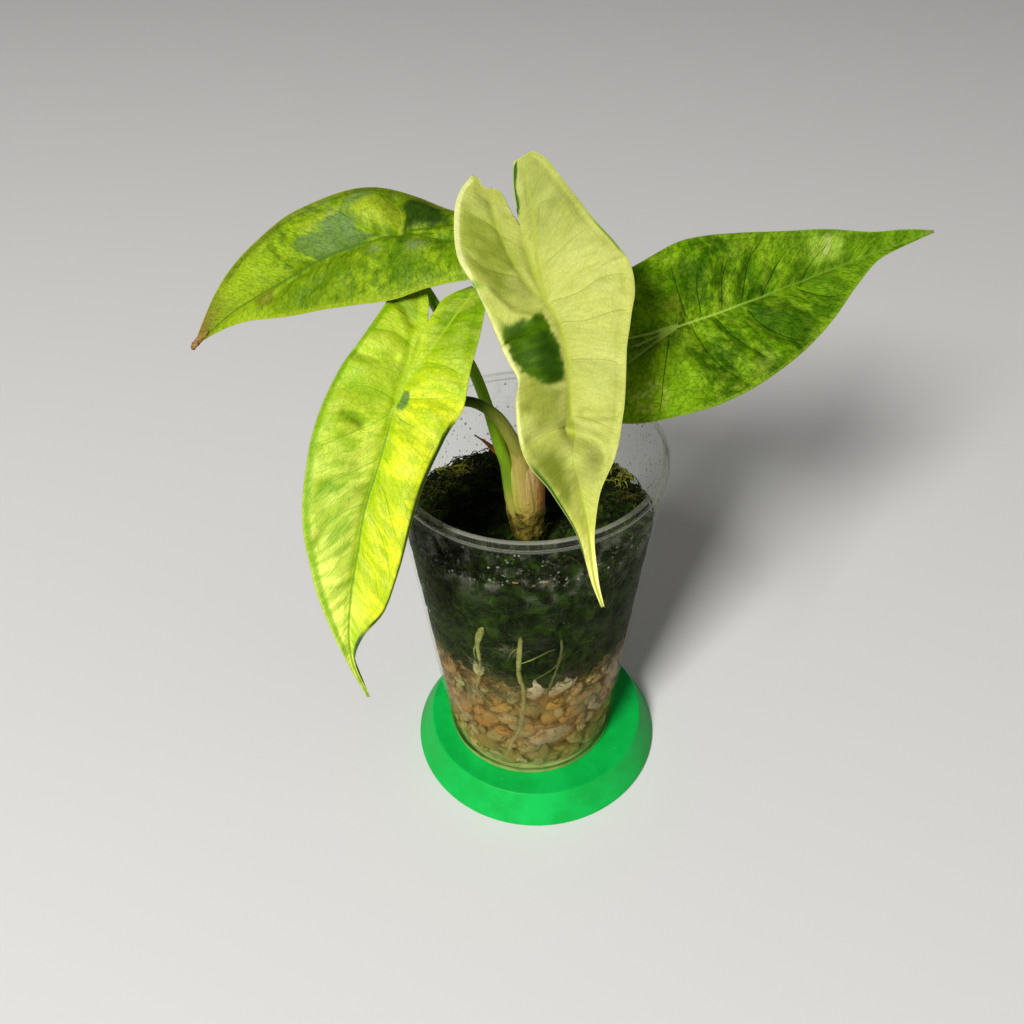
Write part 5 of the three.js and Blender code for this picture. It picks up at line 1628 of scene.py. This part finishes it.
def moss_side_piece():
    """Strands of moss pressed between the fills and the wall."""
    random = np.random.default_rng(83)
    count = int(SIDE_STRANDS * FINE)
    angle = random.uniform(0, 2 * math.pi, count)
    height = random.uniform(*MOSS_HEIGHTS, count)
    low = random.uniform(0, 1, count) < LOW_STRANDS
    height = np.where(low, random.uniform(*LOW_MOSS_HEIGHTS, count), height)
    starts = np.stack([angle * HIGH_WALL_REACH, height], -1)
    soil_line = lambda turn: soil_near(SOIL_RADIUS, turn) + 0.5
    routes = wall_routes(random, starts, HIGH_WALL_REACH, (SIDE_STEPS, 0.9, 0.5), gap=0.32, depth=0.3,
                         top=soil_line)
    points, faces = strand_mesh(routes, random.uniform(0.07, 0.2, count), 3)
    patches = np.clip(grain(angle * HIGH_WALL_REACH, height, 9, 84), 0, 1)
    light = 0.1 + 0.3 * step(-np.cos(angle), 0, 0.9) + 0.35 * patches
    green = moss_colours(random, count, (14, 26, 4), (88, 108, 26), light)
    brown = moss_colours(random, count, (66, 48, 18), (176, 148, 74), 0.5)
    fields = {"tint": np.repeat(np.where(low[:, None], brown, green), SIDE_STEPS * 3, axis=0)}
    points, material = against_wall(points, gap=0.12), moss_material("moss_side_skin")
    return adds_to(new_piece("moss_side", points, faces, material, fields))


# Pale and orange lumps that the photo shows in the lower fill: pixel, half sizes along and across,
# turn in degrees, and colour
NAMED_STONES = [
    ((537, 691), (6.4, 4.6), 78, (176, 166, 128)), ((562, 689), (6.6, 3.8), 28, (168, 160, 120)),
    ((552, 738), (9.0, 6.4), 10, (168, 154, 116)), ((527, 750), (5.6, 4.6), 0, (160, 146, 98)),
    ((477, 668), (3.0, 5.5), 5, (186, 182, 134)), ((474, 690), (3.6, 4.4), 20, (180, 172, 122)),
    ((496, 710), (5.0, 3.6), 20, (172, 134, 66)), ((482, 722), (4.6, 3.4), 160, (162, 114, 48)),
    ((464, 706), (4.4, 3.4), 30, (160, 126, 66)), ((504, 734), (4.2, 3.2), 150, (162, 118, 56)),
    ((557, 706), (4.6, 2.6), 10, (174, 136, 60)), ((474, 744), (4.5, 3.6), 20, (182, 166, 100)),
    ((577, 712), (4.5, 3.6), 0, (146, 116, 62)), ((590, 740), (3.6, 4.0), 0, (140, 150, 88)),
    ((462, 727), (3.0, 4.4), 0, (158, 164, 92)), ((548, 720), (4.0, 3.0), 0, (156, 122, 58)),
    ((512, 700), (3.0, 4.0), 0, (164, 142, 82)), ((515, 583), (1.1, 0.5), 0, (150, 108, 54)),
    ((545, 582), (1.4, 0.5), 175, (150, 124, 72)), ((534, 586), (0.7, 0.5), 20, (120, 98, 52)),
]
# Colours of the other lumps, and how they are scattered
STONE_COLOURS = [(162, 140, 86), (174, 160, 112), (138, 112, 60), (164, 118, 56), (162, 150, 100),
                 (120, 98, 50), (142, 144, 84)]
STONE_TRIES = 5200
STONE_HEIGHTS = (CUP_FLOOR + 1.5, 66)
SMALLEST_STONE = 1.5
STONE_SPREAD = 4.2


STONE_SIDES = 11
STONE_POWER = 14


def stone_balls(random, count):
    """Rounded, flat-sided lumps as directions times reaches, count by points by 3, and their faces."""
    ball = bmesh.new()
    bmesh.ops.create_icosphere(ball, subdivisions=2, radius=1.0)
    ways = unit(np.array([tuple(v.co) for v in ball.verts]))
    faces = np.array([[v.index for v in face.verts] for face in ball.faces])
    ball.free()
    sides = unit(random.normal(0, 1, (count, STONE_SIDES, 3)))
    depths = random.uniform(0.62, 1.0, (count, STONE_SIDES))
    lean = np.clip(np.einsum("vk,nsk->nvs", ways, sides), 0, None) / depths[:, None]
    reach = ((lean**STONE_POWER).sum(-1) + 1.12**-STONE_POWER)**(-1 / STONE_POWER)
    rough = 1 + 0.022 * random.normal(0, 1, reach.shape)
    return ways[None] * (reach * rough)[..., None], faces


def stone_places(random):
    """Angle, height, turn and half sizes of each stone, and the colours: the named ones first, then
    random ones wherever they find room."""
    pixels, sizes, turns, colours = (list(column) for column in zip(*NAMED_STONES))
    named = on_wall(pixels, 0.3)
    angles, heights = list(np.arctan2(named[:, 1], named[:, 0])), list(named[:, 2])
    turns = [math.radians(turn) for turn in turns]
    for _ in range(int(STONE_TRIES * FINE)):
        angle, z = random.uniform(-math.pi, math.pi), random.uniform(*STONE_HEIGHTS)
        half = SMALLEST_STONE + STONE_SPREAD * random.uniform()**1.4
        sweep = (np.array(angles) - angle + math.pi) % (2 * math.pi) - math.pi
        away = np.hypot(sweep * CUP_FOOT_RADIUS, np.array(heights) - z)
        gaps = away - np.array([max(size) for size in sizes])
        if gaps.min() > half * 0.3:
            nearest = gaps.argmin()
            angles.append(angle)
            heights.append(z)
            sizes.append((half * random.uniform(1.0, 1.3), half * random.uniform(0.6, 1.0)))
            turns.append(random.uniform(0, math.pi))
            own = np.array(STONE_COLOURS[random.integers(len(STONE_COLOURS))])
            like = 0.6 * math.exp(-max(gaps[nearest], 0) / 4)
            colours.append(tuple(own * (1 - like) + np.array(colours[nearest]) * like))
    return *(np.array(values, float) for values in (angles, heights, turns, sizes)), colours


def stones_material():
    s = Shader("stones_skin")
    place = s.place()
    pits = s.noise(place, 0.8, 4)
    colour = s.lay(s.field("tint", "Color"), (150, 110, 44), s.noise(place, 3, 3), 0.45, 0.7, 0, 0.6)
    colour = s.lay(colour, (84, 64, 28), pits, 0.3, 0.5, 0.6, 0)
    return s.surface(colour, 0.85, s.bump(pits, 0.4), 1.4, 0.15)


def stones_piece():
    """Lumps of pumice against the wall in the lower fill."""
    random = np.random.default_rng(87)
    angles, heights, turns, sizes, colours = stone_places(random)
    shapes, faces = stone_balls(random, len(angles))
    outward, around = wall_directions(angles)
    upward = np.zeros_like(outward) + (0, 0, 1)
    cos, sin = np.cos(turns)[:, None], np.sin(turns)[:, None]
    long_way, short_way = around * cos + upward * sin, upward * cos - around * sin
    deep = 0.7 * sizes.min(1)
    middle = round_axis(inner_radius(heights) - 0.8 * deep - 0.1, angles, heights)
    points = (middle[:, None] + long_way[:, None] * (shapes[..., :1] * sizes[:, None, :1])
              + short_way[:, None] * (shapes[..., 1:2] * sizes[:, None, 1:])
              + outward[:, None] * (shapes[..., 2:] * deep[:, None, None]))
    count, per_stone, _ = points.shape
    points = against_wall(points.reshape(-1, 3), gap=0.2)
    points[:, 2] = np.maximum(points[:, 2], CUP_FLOOR + 0.3)
    faces = (faces[None] + np.arange(count)[:, None, None] * per_stone).reshape(-1, 3)
    tint = np.repeat(np.array([srgb(*colour) for colour in colours]), per_stone, axis=0)
    return adds_to(new_piece("pumice_lumps", points, faces, stones_material(), {"tint": tint}))


ROOTS = {
    "root_main": ([(-0.5, -17, 112), (-1.5, -29, 107), (-3.2, -39.3, 98), (-3.8, -38.1, 86),
                   (-3.6, -37, 77.5), (-2.3, -36.6, 70.5), (-2.7, -35.2, 57.2), (-4, -33.6, 43),
                   (-6.8, -32.3, 34.3), (-9.4, -30, 22), (-14, -27.3, 19.4), (-22, -21.4, 19),
                   (-28, -12, 19.4)],
                  [1.0, 1.0, 0.8, 1.0, 0.9, 0.9, 0.9, 0.85, 0.9, 1.0, 0.9, 0.8, 0.5]),
    "root_second": ([(-4, -15.5, 112), (-10, -28, 106), (-16.6, -36.8, 101), (-18, -34.9, 92.4),
                     (-17.3, -34, 82.7), (-18.6, -32, 70), (-20.7, -28.4, 55.6)],
                    [0.9, 0.9, 1.3, 1.1, 0.8, 0.8, 0.5]),
    "root_thin": ([(3.5, -15.5, 112), (8, -29, 103), (10.9, -38.6, 96), (9.6, -37.6, 84),
                   (7.4, -36.6, 74), (6, -36, 67), (4.4, -35.2, 56)],
                  [0.5, 0.5, 0.45, 0.45, 0.5, 0.5, 0.35]),
}
WALL_ROOT_HEIGHT = 103.0
WALL_ROOT_LOWEST = 21.0
ROOT_GAP = 0.14
ROOT_CLEARANCE = 0.12


def against_wall(points, gap):
    """Points drawn in so that they clear the cup's wall by gap."""
    points = np.array(points, float)
    reach = np.hypot(points[:, 0], points[:, 1])
    limit = inner_radius(points[:, 2]) - gap
    points[:, :2] *= np.minimum(1, limit / np.maximum(reach, 1e-6))[:, None]
    return points


def pressed_out(route, radii):
    """The route with the part that runs down the wall moved out until the root touches the wall."""
    route = np.array(route, float)
    reach = np.hypot(route[:, 0], route[:, 1])
    wanted = inner_radius(route[:, 2]) - np.array(radii) - ROOT_GAP
    on_side = (route[:, 2] < WALL_ROOT_HEIGHT) & (route[:, 2] > WALL_ROOT_LOWEST)
    route[:, :2] *= np.where(on_side, wanted / reach, 1)[:, None]
    return route


def root_material():
    s = Shader("root_skin")
    place = s.place()
    colour = s.lay((142, 138, 84), (118, 124, 42), s.part(place, 2), 40, 90)
    colour = s.lay(colour, (166, 160, 96), s.noise(place, 3.0, 3), 0.35, 0.65, 0, 0.5)
    colour = s.lay(colour, (84, 84, 26), s.noise(place, 1.2, 3), 0.5, 0.7, 0, 0.7)
    colour = s.lay(colour, (66, 72, 20), s.part(place, 0), -0.5, 3, 0, 0.85)
    return s.surface(colour, 0.5, s.bump(s.noise(place, 0.5, 3), 0.1), shine=0.3)


# Thin side roots, as pixel routes on the wall, with their radii in millimetres
SIDE_ROOTS = [
    ([(520, 664), (529, 661), (538, 657), (548, 652), (556, 649)], 0.32),
    ([(534, 680), (545, 674), (555, 667), (562, 658), (566, 650)], 0.26),
    ([(478, 640), (474, 650), (476, 660)], 0.3), ([(521, 700), (529, 707), (534, 716)], 0.24),
    ([(523, 690), (514, 696), (506, 704)], 0.22), ([(480, 690), (486, 700), (494, 706)], 0.25),
    ([(520, 648), (512, 652), (508, 660)], 0.2), ([(510, 752), (500, 748), (490, 742)], 0.3),
    ([(516, 735), (528, 742), (542, 744)], 0.22),
]


def root_pieces():
    material = root_material()
    knobs = lambda t, angle: 0.14 * grain(t * 5, angle, 1.3, 71)
    for node, (route, radii) in ROOTS.items():
        route = pressed_out(route, radii)
        points, faces, _ = limb_mesh(route, radii, sides=16, steps=160, lump=knobs)
        piece = new_piece(node + "_fine", against_wall(points, ROOT_CLEARANCE), faces, material)
        stands_for(piece, node)
    routes = [spread(on_wall(pixels, radius + ROOT_GAP), 12) for pixels, radius in SIDE_ROOTS]
    points, faces = strand_mesh(np.array(routes), np.array([radius for _, radius in SIDE_ROOTS]), 8)
    branches = new_piece("root_branches", against_wall(points, ROOT_CLEARANCE), faces, material)
    adds_to(branches)


# Tufts of root hairs: the photo's pixel, size in millimetres, and hairs
FUZZ = [((510, 652), 4.0, 110), ((478, 664), 3.0, 90), ((476, 690), 3.6, 100), ((512, 700), 3.0, 40)]


def fuzz_piece():
    """Fine white root hairs along the wall."""
    random = np.random.default_rng(89)
    starts = []
    for pixel, size, count in FUZZ:
        (x, y, z), = on_wall([pixel], 0.3)
        around = random.normal(0, size * 0.5, (int(count * FINE), 2))
        starts.append(around + (math.atan2(y, x) * LOW_WALL_REACH, z))
    routes = wall_routes(random, np.vstack(starts), LOW_WALL_REACH, (6, 0.6, 0.35), gap=0.22,
                         depth=0.12)
    points, faces = strand_mesh(routes, random.uniform(0.04, 0.09, len(routes)), 3)
    s = Shader("fuzz_skin")
    colour = s.lay((70, 76, 40), (108, 112, 72), s.noise(s.place(), 2, 2), 0.4, 0.6)
    material = s.surface(colour, 0.7, ior=1.4)
    return adds_to(new_piece("root_fuzz", against_wall(points, gap=0.1), faces, material))


FLOOR_REACH = 3000
FLOOR_COLOUR = (0.72, 0.71, 0.69)


def make_floor():
    corners = [(-1, -1, 0), (1, -1, 0), (1, 1, 0), (-1, 1, 0)]
    material = Shader("floor_pale").surface(FLOOR_COLOUR, 0.8, ior=1.5)
    new_piece("floor", np.array(corners) * FLOOR_REACH, [(0, 1, 2, 3)], material)


# The lights: name, place and size in metres, and power in watts
LIGHT_AIM = np.array((0, 0, 0.12))
LIGHTS = [("key_light", (-0.95, -1.75, 1.85), 0.65, 88), ("fill_light", (1.6, -0.7, 1.3), 1.4, 3)]
WORLD_COLOUR = (1.0, 0.99, 0.96, 1)
WORLD_STRENGTH = 0.12


def make_lights():
    for name, place, size, power in LIGHTS:
        data = bpy.data.lights.new(name, "AREA")
        data.size, data.energy = size, power
        forward = unit(LIGHT_AIM - place)
        side = unit(np.cross(forward, (0, 0, 1)))
        aim(put_in_scene(name, data), place, side, np.cross(side, forward), forward)
    world = bpy.data.worlds.new("studio")
    world.use_nodes = True
    background = world.node_tree.nodes["Background"]
    background.inputs[0].default_value = WORLD_COLOUR
    background.inputs[1].default_value = WORLD_STRENGTH
    bpy.context.scene.world = world
    bpy.context.scene.view_settings.view_transform = "Standard"


make_camera()
make_lights()
make_floor()
for node in BLADES:
    blade_piece(node)
    stalk_piece(node)
stem_piece()
sheath_pieces()
dry_tip_piece()
dry_sheath_piece()
stand_piece()
cup_piece()
drops_piece()
soil_piece()
moss_top_piece()
moss_side_piece()
lower_piece()
stones_piece()
root_pieces()
fuzz_piece()
